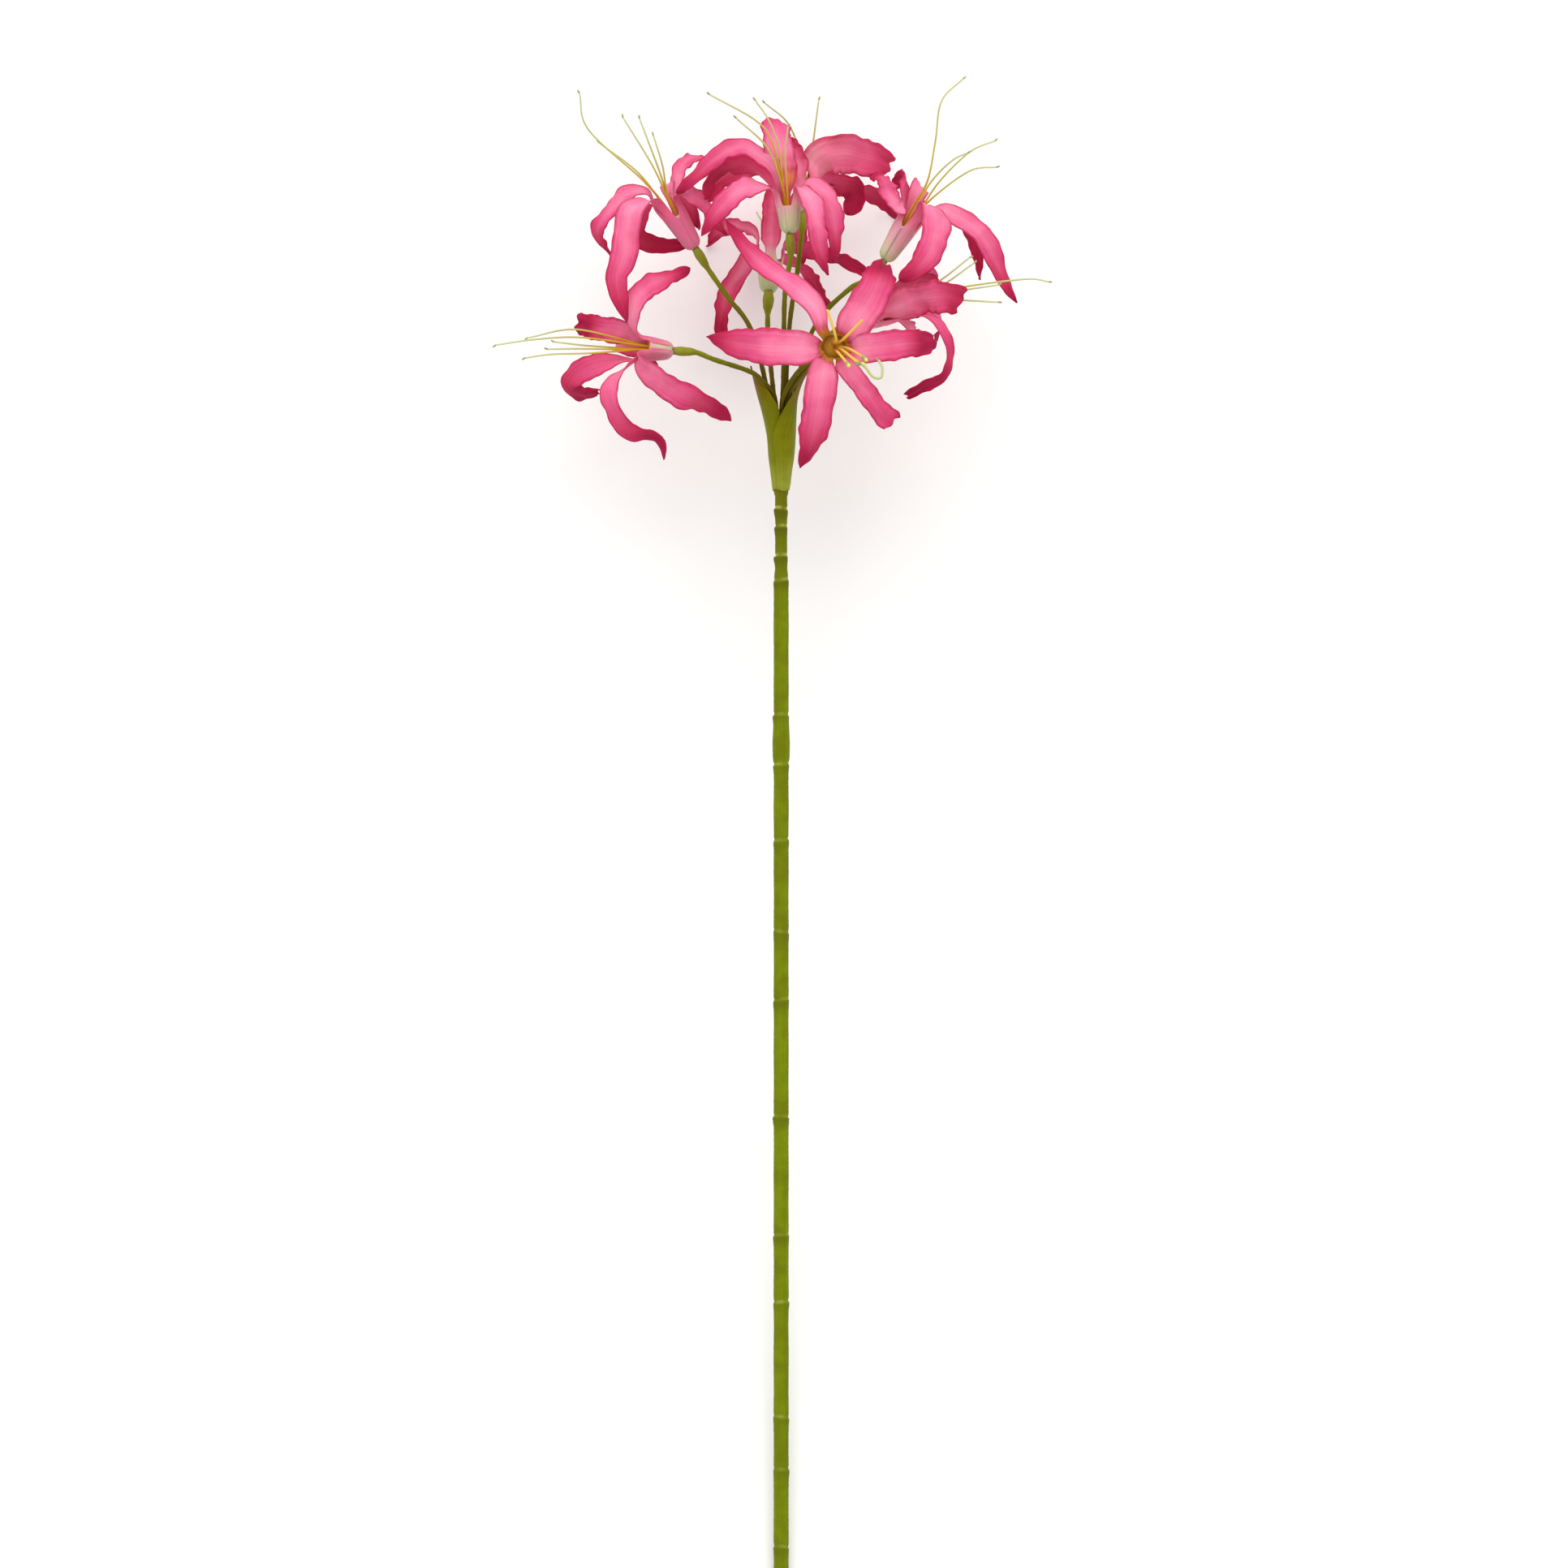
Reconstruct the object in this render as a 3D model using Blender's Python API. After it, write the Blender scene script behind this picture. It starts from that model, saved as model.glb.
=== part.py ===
# A nerine flower stem that lies on its side: a sheathed green stem, two spathe bracts and an umbel
# of eight florets, each with six tepals, its stamens and its pedicel.
# All shapes are drawn in the stem's own frame in millimetres: x to the right, y along the stem from
# the foot of the cup at 0, z away from the surface. LYING then tips the whole stem, so that it
# rests on the rim of its cut end and on the lowest tepals at the back of the umbel.
import math

import bmesh
import bpy
from mathutils import Euler, Matrix, Vector

MM = 0.001
GAP = 0.3

# How the stem lies: its tip and roll in degrees, and where the foot of the cup ends up.
LYING = {"tip": 6.92, "roll": -0.72, "place": (4.67, 171.29, 69.47)}

# Blades: thickness, steps along and across, the shares of the length by which one is full wide and
# fully twisted, from where it narrows and how fast, how it waves, and how it is cupped across.
BLADE = {
    "thick": 0.7,
    "along": 9,
    "across": 2,
    "root_width": 6.5,
    "full_by": 0.3,
    "twisted_by": 0.5,
    "narrows_from": 0.5,
    "narrowing": 2.2,
    "waves": 2.6,
    "wave": 0.9,
    "wave_lag": 1.7,
    "cup": 0.10,
    "cup_change": 2.2,
}
# By how much each tepal's waves start later than those of the one before, in radians.
NEXT_WAVE = 2.4
# The floret's tube: it flares by this power of its length's share, and has rings at the shares.
# A tepal's centre line starts in its wall, at the root's and the rim's share of it.
TUBE = {
    "base_radius": 3.8,
    "mouth_radius": 7.0,
    "flare": 0.8,
    "shares": (0.35, 0.7, 1),
    "foot_inset": 0.6,
    "foot_height": 0.8,
    "wall": 0.8,
    "floor": 2.5,
    "sides": 8,
}
TEPAL_ROOT = 0.7
TEPAL_RIM = 0.95
CORE = {"foot_radius": 1.3, "top_radius": 2.0, "top": 0.55, "sides": 6}
# How far from the axis a filament leaves the core and passes the mouth.
FILAMENT = {"radius": 0.6, "tip_radius": 0.45, "sides": 3, "steps": 6, "at_core": 0.9, "at_mouth": 2.2}
# A pedicel rises straight from its root by these heights.
PEDICEL = {"root_radius": 1.1, "radius": 1.3, "sides": 6, "steps": 9, "rises": (2, 8)}
# The ovary under each floret: its radius at these shares of its length.
OVARY = {"length": 12.0, "radii": {0.35: 2.2, 0.65: 2.5, 1: 1.9}}

STEM_END = -547.0
STEM_TOP = 18.0
STEM_RADIUS = 3.75
STEM_SIDES = 8
# The cut end is drawn in by this much over this height.
STEM_EDGE = {"inset": 0.2, "height": 1}
# Height and radius of the stem's top, inside the bracts.
STEM_HEAD = ((-1, 3.6), (8, 4.0), (16, 4.6), (STEM_TOP, 4.5))
# A sheath's end: it swells from below its lip, and the next one starts drawn in and runs out.
JOINT = {"swells": 6, "lip": 0.6, "drawn_in": 0.35, "runs_out": 2}
# Where one sheath ends on the next, from the cup down, and how far it stands out there.
STEM_JOINTS = {
    -9.2: 0.3,
    -18: 0.3,
    -32.4: 0.3,
    -44.4: 0.1,
    -110.8: 0.6,
    -135.2: 0.5,
    -172.4: 0.4,
    -217.6: 0.2,
    -251.2: 0.4,
    -308.8: 0.6,
    -367.2: 0.4,
    -400: 0.4,
    -456.8: 0.3,
    -482.4: 0.4,
    -520.8: 0.2,
}

# Height, outer radius, half angle that the bract wraps, and how much closer its edges lie.
BRACTS = {
    "spathe_left": {
        "faces": 180,
        "rings": [
            (0, 4.45, 72, 0),
            (9, 5.3, 71, 0.2),
            (17, 6.3, 74, 0.9),
            (27, 7.1, 90, 1.6),
            (38, 9.4, 86, 1.9),
            (46, 11.6, 64, 0.8),
            (54, 13.6, 34, 0),
            (61, 15.2, 8, 0),
        ],
    },
    "spathe_right": {
        "faces": 0,
        "rings": [
            (0, 4.45, 105, 0),
            (9, 5.3, 103, -0.3),
            (17, 6.5, 108, -0.9),
            (27, 7.2, 122, -1.4),
            (38, 7.6, 88, -1.2),
            (46, 8.4, 58, -0.6),
            (54, 11.0, 32, 0),
            (61, 15.0, 8, 0),
        ],
    },
}
BRACT_THICK = 0.7
BRACT_ACROSS = 10

# Where the pedicels stand on the stem's top: one in the middle and the others round it.
ROOT_RING = 3.2

# Each floret: the ends of its tube, its pedicel's root (turn round the stem in degrees, None for
# the middle) and the points that it passes, then its tepals and the tips of its filaments.
# A tepal is its greatest width, its tip's width as a share of that, its twist and its centre line
# from the mouth on. A filament is the points that it passes outside the mouth.
FLORETS = {
    "low_left": {
        "tube": ((-53.5, 68.6, 9), (-71.5, 70, 12)),
        "root": 139,
        "pedicel": [(-3, 45, 5), (-9.5, 54, 9), (-16, 58.6, 10.5), (-33, 64.3, 8)],
        "tepals": [
            (12, 0.25, 62, [(-73, 82, 15), (-72.5, 92, 15), (-66, 100, 14), (-57, 104.5, 12),
                (-44.7, 109.6, 8)]),
            (12.5, 0.9, 45, [(-80, 78, 8), (-89, 79.5, 5), (-101, 82, 1)]),
            (12, 0.65, -70, [(-82, 64, 14), (-92, 61.5, 16), (-101.5, 56.5, 15), (-104.5, 50.5, 13),
                (-98, 46.5, 11), (-89.5, 47.3, 9)]),
            (9.5, 0.2, -70, [(-78, 59, 21), (-84.5, 51, 25), (-84.3, 43, 26), (-80.3, 34.5, 25),
                (-74.5, 28, 23), (-65, 26.4, 21), (-59.5, 23.6, 20), (-58, 14.7, 19)]),
            (14.5, 0.2, -15, [(-69, 61, 22), (-57.7, 51.5, 27), (-47.3, 45.4, 28), (-36, 41, 24),
                (-24.6, 33.7, 19)]),
            (9, 0.2, 0, [(-78, 72, 0), (-82, 73, -14), (-74, 70, -32), (-62, 62, -44)]),
        ],
        "filaments": [
            [(-101, 79, 16), (-125, 74.8, 18)],
            [(-99, 75, 20), (-121, 74, 22), (-140.6, 71.2, 20)],
            [(-97, 69.4, 22), (-115, 69.2, 24)],
            [(-94, 67.2, 25), (-113, 66.6, 28), (-126, 64.8, 29)],
            [(-95, 71, 12), (-112, 73, 8)],
        ],
    },
    "upper_left": {
        "tube": ((-42.5, 119.6, -5), (-57, 143, -2)),
        "root": 190,
        "pedicel": [(-3.6, 34, -0.3), (-14, 77, -4), (-27, 96, -5.5)],
        "tepals": [
            (9, 0.3, -45, [(-66, 147, -1), (-75, 147, 0), (-84, 138.5, 1), (-91.3, 127, -2),
                (-84, 114.6, -10)]),
            (13.5, 0.15, -75, [(-65.5, 143, 8), (-73.5, 138.5, 14), (-75.8, 129.6, 17),
                (-77.4, 115.2, 18), (-81, 102.9, 19), (-75.8, 82.6, 23)]),
            (9.5, 0.5, 45, [(-66, 141, -9), (-70.5, 133, -15), (-70.5, 125, -19), (-60, 121, -21),
                (-47, 121.5, -21)]),
            (8, 0.5, 30, [(-51.5, 152, -9), (-49.5, 160, -12), (-42, 165, -16), (-31, 162, -26)]),
            (9, 0.3, 30, [(-49, 147.5, 4), (-40, 143, 5), (-32.5, 134, 3), (-26.5, 126, -3)]),
            (9, 0.25, 0, [(-56, 151, -12), (-52, 152, -26), (-46, 143, -40), (-41, 130, -50)]),
        ],
        "filaments": [
            [(-69, 153.5, 2), (-95, 177.6, 6), (-99.4, 195.6, 8)],
            [(-71, 157, 0), (-90, 171.5, -1)],
            [(-63.5, 160, 4), (-78, 183.6, 8)],
            [(-61, 160, 2), (-69.8, 183.2, 3)],
            [(-58.5, 160, 6), (-63, 174.8, 10)],
        ],
    },
    "top": {
        "tube": ((4.2, 126.8, 8), (3.4, 147, 9)),
        "root": None,
        "pedicel": [(1.2, 60, 3), (1.8, 95.6, 6.5)],
        "tepals": [
            (12, 0.2, -45, [(-6, 149, 13), (-16, 149.5, 19), (-24, 145, 24), (-31.6, 136.7, 26),
                (-39.5, 125, 27)]),
            (10.5, 0.3, -15, [(-3, 158, 4), (-11, 165.5, 3), (-21, 169.6, 4), (-32, 164, 7),
                (-42, 155, 10), (-52, 146.5, 11)]),
            (15.5, 0.85, 0, [(0.6, 157, 2), (-1, 168, 0), (-2.2, 178, -4), (-2.8, 183.5, -12)]),
            (12, 0.4, 50, [(-9, 156, 9), (-20, 160.5, 11), (-30, 158, 12), (-36.5, 151, 14),
                (-38, 143, 16)]),
            (12, 0.2, 0, [(10, 149, 15), (15.5, 141, 22), (17.8, 130, 26), (19.6, 118, 27),
                (23.5, 105.6, 26)]),
            (11, 0.2, 40, [(14, 151.5, 9), (21.5, 147, 11), (25.5, 136.7, 13), (27, 124, 14),
                (26, 112, 15)]),
        ],
        "filaments": [
            [(-4, 170, 9), (-12, 181.6, 11), (-35.4, 194.8, 14)],
            [(-6.5, 168, 12), (-22.2, 183.2, 16)],
            [(-1, 168, 10), (-6, 182, 9), (-12.8, 192, 8)],
            [(2, 166, 14), (3.5, 179, 20)],
        ],
    },
    "rear_low": {
        "tube": ((-6.2, 98.4, -30), (-5.4, 118, -42)),
        "root": 245,
        "pedicel": [(-2.2, 34, -3.4), (-6.2, 72, -17)],
        "tepals": [
            (10, 0.5, 0, [(-13, 119, -47), (-20, 109, -51), (-26.5, 98.5, -52), (-29.8, 88, -50),
                (-30.3, 75, -47)]),
            (8, 0.4, 0, [(2, 115, -47), (11, 110, -50), (17.5, 102.5, -50), (25, 90.5, -47)]),
            (9, 0.3, 0, [(2, 122, -46), (11, 120, -52), (21, 117.5, -55), (32, 114, -56),
                (46, 106.5, -53)]),
            (10, 0.5, 0, [(-5, 127, -45), (-4.6, 136, -49), (-4.2, 145, -56), (-3.5, 151, -66)]),
            (9, 0.25, 0, [(-7, 116, -53), (-11, 115, -63), (-15, 117, -72), (-18, 119, -78)]),
            (9, 0.25, 0, [(-12, 127, -48), (-21, 131.5, -58), (-30, 129.5, -72), (-36, 122.5, -84)]),
        ],
        "filaments": [
            [(-8, 130, -60), (-12, 138, -80)],
            [(-6, 126, -62), (-6, 126, -84)],
            [(-2, 126, -60), (-3, 122, -76)],
        ],
    },
    "upper_right": {
        "tube": ((51, 113.5, 5), (66, 137.5, 6)),
        "root": 345,
        "pedicel": [(4.2, 34, 0), (15, 77.6, 0), (34, 99.4, 2)],
        "tepals": [
            (9, 0.3, 0, [(61, 147, 1), (62, 152.5, -5), (60, 154.5, -14), (55, 149, -24)]),
            (14.5, 0.3, 45, [(73, 140, 14), (76.5, 130, 21), (73.5, 118, 26), (67, 109, 31),
                (58, 103.6, 34)]),
            (10.5, 0.15, 62, [(78, 138.5, 6), (88, 134, 9), (96.6, 128.5, 10), (102.5, 120.5, 9),
                (106.5, 111, 7), (111, 101, 5), (116.4, 92.3, 4)]),
            (10, 0.3, 0, [(68, 148, -2), (69, 150, -11), (67, 144, -24), (63, 132, -34)]),
            (10, 0.35, -50, [(57.5, 140, 12), (53, 147.5, 13), (50, 154, 12), (43.5, 155.5, 8)]),
            (8.5, 0.2, -60, [(76, 140, -3), (85, 137, -10), (93, 129, -14), (97.5, 116, -13),
                (98.4, 103.6, -8)]),
        ],
        "filaments": [
            [(72, 152, 6), (76, 172, 8), (79, 191.6, 8), (89.8, 202.8, 6)],
            [(78, 152, 8), (93, 166.5, 12), (105.4, 172, 12)],
            [(79.5, 148, 12), (94, 157.5, 18), (106, 158.8, 22)],
            [(74, 152, 11), (84, 162, 18), (92, 166, 22)],
        ],
    },
    "right": {
        "tube": ((36, 81.5, 14), (55, 89, 20)),
        "root": 36,
        "pedicel": [(2.8, 36, 3), (3.7, 46, 5.4), (8, 54, 9.8), (20, 70, 12)],
        "tepals": [
            (17, 0.95, 20, [(65, 93, 28), (75, 95, 31), (83, 94.7, 31), (88.7, 93.2, 29)]),
            (4.6, 1.35, 70, [(66, 86, 26), (75, 84, 29), (81.5, 75.5, 30), (83.4, 65, 30), (79.5, 55, 29),
                (71, 51, 28), (62, 45.8, 27)]),
            (10, 0.3, 0, [(62, 102, 17), (70, 106, 9), (75, 103, 0), (76, 96, -8)]),
            (9, 0.5, 0, [(66, 91, 12), (75, 89, 4), (79, 82, -6), (77, 74, -14)]),
            (9, 0.3, 0, [(61, 82, 13), (67, 77, 4), (70, 73, -8), (68, 70, -20)]),
            (9, 0.3, -30, [(58, 99, 21), (64, 102, 20), (72, 103, 18), (80, 100, 15)]),
        ],
        "filaments": [
            [(76, 101.5, 22), (93, 114.4, 22)],
            [(78, 100, 24), (95, 111.6, 26)],
            [(80, 98, 20), (119, 103.6, 20), (132, 102.4, 18)],
            [(84, 97, 22), (107, 100.8, 24)],
            [(82, 93, 21), (107, 92.4, 20)],
        ],
    },
    "front": {
        "tube": ((25, 71, 30), (26, 70, 49)),
        "root": 87,
        "pedicel": [(0.2, 38, 5), (1, 46, 8.6), (7, 56.5, 12.5), (17, 66, 14.5)],
        "tepals": [
            (11, 0.2, 0, [(20, 79, 55), (16.5, 90, 55), (6.5, 100, 49), (-5.7, 108.4, 42),
                (-16.5, 118.5, 34), (-27, 133, 24)]),
            (18, 0.12, 0, [(16.5, 69, 56), (3.5, 69.6, 58), (-9.9, 70.3, 56), (-22, 71.8, 51),
                (-37, 75, 44)]),
            (16.5, 0.15, 0, [(21, 60, 57), (19, 45, 60), (16.8, 31, 58), (14, 19.4, 54),
                (9.4, 10.2, 49)]),
            (10.2, 1.15, 0, [(32, 60, 57), (40, 50, 60), (47.5, 40, 58), (54.8, 32.2, 55)]),
            (15, 0.6, 0, [(37, 69, 55), (48, 69.8, 60), (60, 71.4, 60), (69, 72, 56), (76, 73, 49)]),
            (18, 0.65, 0, [(33, 77.5, 55), (39.5, 87, 57), (46, 98, 55), (49.5, 107, 48),
                (51.5, 111.5, 40)]),
        ],
        "filaments": [
            [(27, 74, 66), (22.7, 88, 70)],
            [(31, 74, 66), (39.8, 82.8, 72)],
            [(30.5, 68, 64), (38, 61.5, 72)],
            [(28, 67, 65), (32.5, 61.5, 75)],
            [(33, 69, 64), (40.5, 64.5, 70)],
            [(34, 65, 67), (41, 60, 73), (45, 55, 75), (49, 54.5, 75), (49.6, 59.6, 74), (47.8, 63, 73)],
        ],
    },
    "rear_high": {
        "tube": ((11, 137, -20), (12.5, 153, -32)),
        "root": 295,
        "pedicel": [(1.6, 34, -4), (4, 80, -9), (8, 108, -9)],
        "tepals": [
            (20.5, 0.6, -15, [(17, 160, -33), (23, 165, -33), (33, 166.5, -34), (44, 164, -36),
                (54, 161, -38)]),
            (14.5, 0.35, -10, [(20, 153, -38), (28, 153, -42), (35, 149.5, -46), (36.5, 143.5, -49),
                (32.5, 136.5, -50)]),
            (10, 0.5, 0, [(8, 165, -30), (2, 173, -29), (-2, 178, -25)]),
            (14, 0.4, 15, [(3, 158, -36), (-9, 162, -40), (-21, 160, -44), (-32, 153, -46),
                (-38, 143, -46)]),
            (9, 0.25, 0, [(9, 146, -44), (8, 138, -54), (9, 126, -68), (11, 113, -80)]),
            (11, 0.25, -20, [(21, 149, -45), (32, 150, -58), (43, 148.5, -70), (52, 143, -80),
                (57, 135, -86.5)]),
        ],
        "filaments": [
            [(15, 166, -36), (18.6, 193.2, -36)],
            [(9, 168, -36), (3, 182, -33), (-8.2, 191.6, -30)],
            [(16, 163, -46), (22, 174, -60)],
            [(12, 160, -50), (12, 166, -66)],
        ],
    },
}

ROUGHNESS = {"tepals": 0.7, "stamens": 0.5, "pedicel": 0.5, "stem": 0.5, "spathe": 0.5}
COLOURS = {
    "tepals": (0.84, 0.10, 0.25, 1),
    "stamens": (0.70, 0.68, 0.35, 1),
    "pedicel": (0.21, 0.24, 0.02, 1),
    "stem": (0.20, 0.22, 0.015, 1),
    "spathe": (0.30, 0.32, 0.03, 1),
}


# Curves and frames


def along_curve(points, steps):
    """Points at even steps along a smooth curve through the given points."""
    ends = [points[0] * 2 - points[1], *points, points[-1] * 2 - points[-2]]
    fine = []
    for a, b, c, d in zip(ends, ends[1:], ends[2:], ends[3:]):
        for i in range(12):
            t = i / 12
            square = (2 * a - 5 * b + 4 * c - d) * t**2
            cube = (3 * b - a - 3 * c + d) * t**3
            fine.append(0.5 * (2 * b + (c - a) * t + square + cube))
    fine.append(points[-1])
    lengths = [0.0]
    for a, b in zip(fine, fine[1:]):
        lengths.append(lengths[-1] + (b - a).length)
    spread, i = [], 0
    for step in range(steps + 1):
        want = lengths[-1] * step / steps
        while i < len(fine) - 2 and lengths[i + 1] < want:
            i += 1
        share = (want - lengths[i]) / (lengths[i + 1] - lengths[i])
        spread.append(fine[i].lerp(fine[i + 1], share))
    return spread


def tangents(points):
    last = len(points) - 1
    return [(points[min(i + 1, last)] - points[max(i - 1, 0)]).normalized() for i in range(last + 1)]


def carried_normals(points, first):
    """The first normal, carried along the curve without turning about it."""
    along = tangents(points)
    normal = (first - along[0] * first.dot(along[0])).normalized()
    normals = [normal]
    for a, b in zip(along, along[1:]):
        normal = a.rotation_difference(b) @ normal
        normals.append((normal - b * normal.dot(b)).normalized())
    return normals


def smoothstep(t):
    t = min(max(t, 0), 1)
    return t * t * (3 - 2 * t)


def frame_at(origin, along):
    """A frame at the origin with its Z along the given direction."""
    return Matrix.Translation(origin) @ along.to_track_quat("Z", "Y").to_matrix().to_4x4()


# Solids


def object_from(bm, name):
    bmesh.ops.triangulate(bm, faces=bm.faces)
    bmesh.ops.recalc_face_normals(bm, faces=bm.faces)
    bmesh.ops.scale(bm, verts=bm.verts, vec=(MM, MM, MM))
    mesh = bpy.data.meshes.new(name)
    bm.to_mesh(mesh)
    bm.free()
    obj = bpy.data.objects.new(name, mesh)
    bpy.context.scene.collection.objects.link(obj)
    return obj


def skin_rings(rings, name):
    """One solid through rings of points, closed at its first and last ring."""
    bm = bmesh.new()
    loops = [[bm.verts.new(point) for point in ring] for ring in rings]
    for low, high in zip(loops, loops[1:]):
        for i in range(len(low)):
            j = (i + 1) % len(low)
            bm.faces.new((low[i], low[j], high[j], high[i]))
    bm.faces.new(loops[0][::-1])
    bm.faces.new(loops[-1])
    return object_from(bm, name)


def ring(place, radius, sides, height=0.0):
    turns = [math.tau * i / sides for i in range(sides)]
    return [place @ Vector((radius * math.cos(a), radius * math.sin(a), height)) for a in turns]


def tube_along(points, radii, sides, name):
    """A solid tube along a curve, one radius for each point."""
    along = tangents(points)
    side = Vector((0, 0, 1)) if abs(along[0].z) < 0.9 else Vector((0, 1, 0))
    rings = []
    for point, direction, normal, radius in zip(points, along, carried_normals(points, side), radii):
        across = direction.cross(normal)
        place = Matrix((normal, across, direction)).transposed().to_4x4()
        rings.append(ring(Matrix.Translation(point) @ place, radius, sides))
    return skin_rings(rings, name)


def blade_width(t, width, tip):
    """Narrow at the root, widest at the middle, and drawn in to the tip's share of the width."""
    grown = BLADE["root_width"] + (width - BLADE["root_width"]) * smoothstep(t / BLADE["full_by"])
    fall = max(t - BLADE["narrows_from"], 0) / (1 - BLADE["narrows_from"])
    return grown * (1 - (1 - tip) * fall ** BLADE["narrowing"])


def blade(points, first_normal, width, tip, twist, phase, name):
    """A thin waved blade along a curve. Its inner face looks along the carried normal."""
    steps = BLADE["along"]
    path = along_curve(points, steps)
    along = tangents(path)
    normals = carried_normals(path, first_normal)
    bm = bmesh.new()
    bmesh.ops.create_grid(bm, x_segments=steps, y_segments=BLADE["across"], size=0.5)
    for vert in bm.verts:
        t, side = vert.co.x + 0.5, vert.co.y * 2
        i = round(t * steps)
        turned = math.radians(twist) * smoothstep(t / BLADE["twisted_by"])
        normal = Matrix.Rotation(turned, 3, along[i]) @ normals[i]
        across = along[i].cross(normal)
        half = blade_width(t, width, tip) / 2
        turn = math.tau * BLADE["waves"] * t + phase + BLADE["wave_lag"] * side
        wave = BLADE["wave"] * math.sin(turn) * smoothstep(2 * t)
        cup = BLADE["cup"] * width * (1 - BLADE["cup_change"] * t) * side**2
        vert.co = path[i] + across * half * side + normal * (wave * abs(side) + cup)
    bmesh.ops.triangulate(bm, faces=bm.faces)
    bmesh.ops.solidify(bm, geom=bm.faces, thickness=BLADE["thick"])
    return object_from(bm, name)


def island(face):
    """All the faces that hang together with this one."""
    found, edge = {face}, [face]
    while edge:
        for link in edge.pop().edges:
            for other in link.link_faces:
                if other not in found:
                    found.add(other)
                    edge.append(other)
    return found


def keep_largest(mesh):
    """Fills the hollows that fusing seals and drops loose scraps: only the outer skin stays."""
    bm = bmesh.new()
    bm.from_mesh(mesh)
    left = set(bm.faces)
    islands = []
    while left:
        islands.append(island(next(iter(left))))
        left -= islands[-1]
    largest = max(islands, key=len)
    spare = [face for found in islands if found is not largest for face in found]
    bmesh.ops.delete(bm, geom=spare, context="FACES")
    bm.to_mesh(mesh)
    bm.free()


def fuse(parts, name):
    """One solid from overlapping ones, by one Boolean union on their collection."""
    body, *others = parts
    group = bpy.data.collections.new(name + "_parts")
    for part in others:
        group.objects.link(part)
    union = body.modifiers.new("union", "BOOLEAN")
    union.operation = "UNION"
    union.operand_type = "COLLECTION"
    union.collection = group
    graph = bpy.context.evaluated_depsgraph_get()
    mesh = bpy.data.meshes.new_from_object(body.evaluated_get(graph))
    body.modifiers.clear()
    keep_largest(mesh)
    body.data = mesh
    for part in others:
        bpy.data.objects.remove(part)
    bpy.data.collections.remove(group)
    body.name = mesh.name = name
    return body


# The pieces of a floret


def tube_radius(share):
    widens = TUBE["mouth_radius"] - TUBE["base_radius"]
    return TUBE["base_radius"] + widens * share ** TUBE["flare"]


def floret_tube(base, mouth):
    """The pale open tube that the tepals grow from."""
    length = (mouth - base).length
    place = frame_at(base, mouth - base)
    wall = TUBE["wall"]
    outer = [(0, TUBE["base_radius"] - TUBE["foot_inset"]), (TUBE["foot_height"], TUBE["base_radius"])]
    outer += [(length * share, tube_radius(share)) for share in TUBE["shares"]]
    inner = [(length * share, tube_radius(share) - wall) for share in reversed(TUBE["shares"])]
    inner.append((TUBE["floor"], TUBE["base_radius"] - wall))
    rings = [ring(place, radius, TUBE["sides"], height) for height, radius in outer + inner]
    return skin_rings(rings, "tube")


def floret_tepals(name, floret):
    base, mouth = (Vector(end) for end in floret["tube"])
    axis = (mouth - base).normalized()
    length = (mouth - base).length
    parts = [floret_tube(base, mouth)]
    for i, (width, tip, twist, line) in enumerate(floret["tepals"]):
        points = [Vector(point) for point in line]
        out = points[0] - base
        out = (out - axis * out.dot(axis)).normalized()
        wall = TUBE["wall"] / 2
        root = base + axis * length * TEPAL_ROOT + out * (tube_radius(TEPAL_ROOT) - wall)
        rim = base + axis * length * TEPAL_RIM + out * (tube_radius(TEPAL_RIM) - wall)
        phase = i * NEXT_WAVE
        parts.append(blade([root, rim, *points], -out, width, tip, twist, phase, "tepal"))
    return fuse(parts, name + "_tepals")


def floret_stamens(name, floret):
    base, mouth = (Vector(end) for end in floret["tube"])
    axis = (mouth - base).normalized()
    length = (mouth - base).length
    foot = base + axis * (TUBE["floor"] + GAP)
    top = base + axis * length * CORE["top"]
    core = tube_along([foot, top], [CORE["foot_radius"], CORE["top_radius"]], CORE["sides"], "core")
    parts = [core]
    for line in floret["filaments"]:
        points = [Vector(point) for point in line]
        out = points[0] - base
        out = (out - axis * out.dot(axis)).normalized()
        root = foot.lerp(top, 0.5) + out * FILAMENT["at_core"]
        rim = mouth + out * FILAMENT["at_mouth"]
        path = along_curve([root, rim, *points], FILAMENT["steps"])
        last = len(path) - 1
        shrink = (FILAMENT["radius"] - FILAMENT["tip_radius"]) / last
        radii = [FILAMENT["radius"] - shrink * i for i in range(last + 1)]
        parts.append(tube_along(path, radii, FILAMENT["sides"], "filament"))
    return fuse(parts, name + "_stamens")


def floret_pedicel(name, floret):
    base, mouth = (Vector(end) for end in floret["tube"])
    axis = (mouth - base).normalized()
    root = Vector((0, STEM_TOP + GAP, 0))
    if floret["root"] is not None:
        turn = math.radians(floret["root"])
        root += Vector((math.cos(turn), 0, math.sin(turn))) * ROOT_RING
    top = base - axis * GAP
    straight = top - axis * OVARY["length"]
    passed = [Vector(point) for point in floret["pedicel"]]
    risen = [root + Vector((0, height, 0)) for height in PEDICEL["rises"]]
    line = [*risen, *passed, straight]
    path = [root, *along_curve(line, PEDICEL["steps"])]
    grow = PEDICEL["radius"] - PEDICEL["root_radius"]
    radii = [PEDICEL["root_radius"] + grow * i / len(path) for i in range(len(path))]
    for share, radius in OVARY["radii"].items():
        path.append(straight + axis * OVARY["length"] * share)
        radii.append(radius)
    return tube_along(path, radii, PEDICEL["sides"], name + "_pedicel")


# The green pieces


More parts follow.
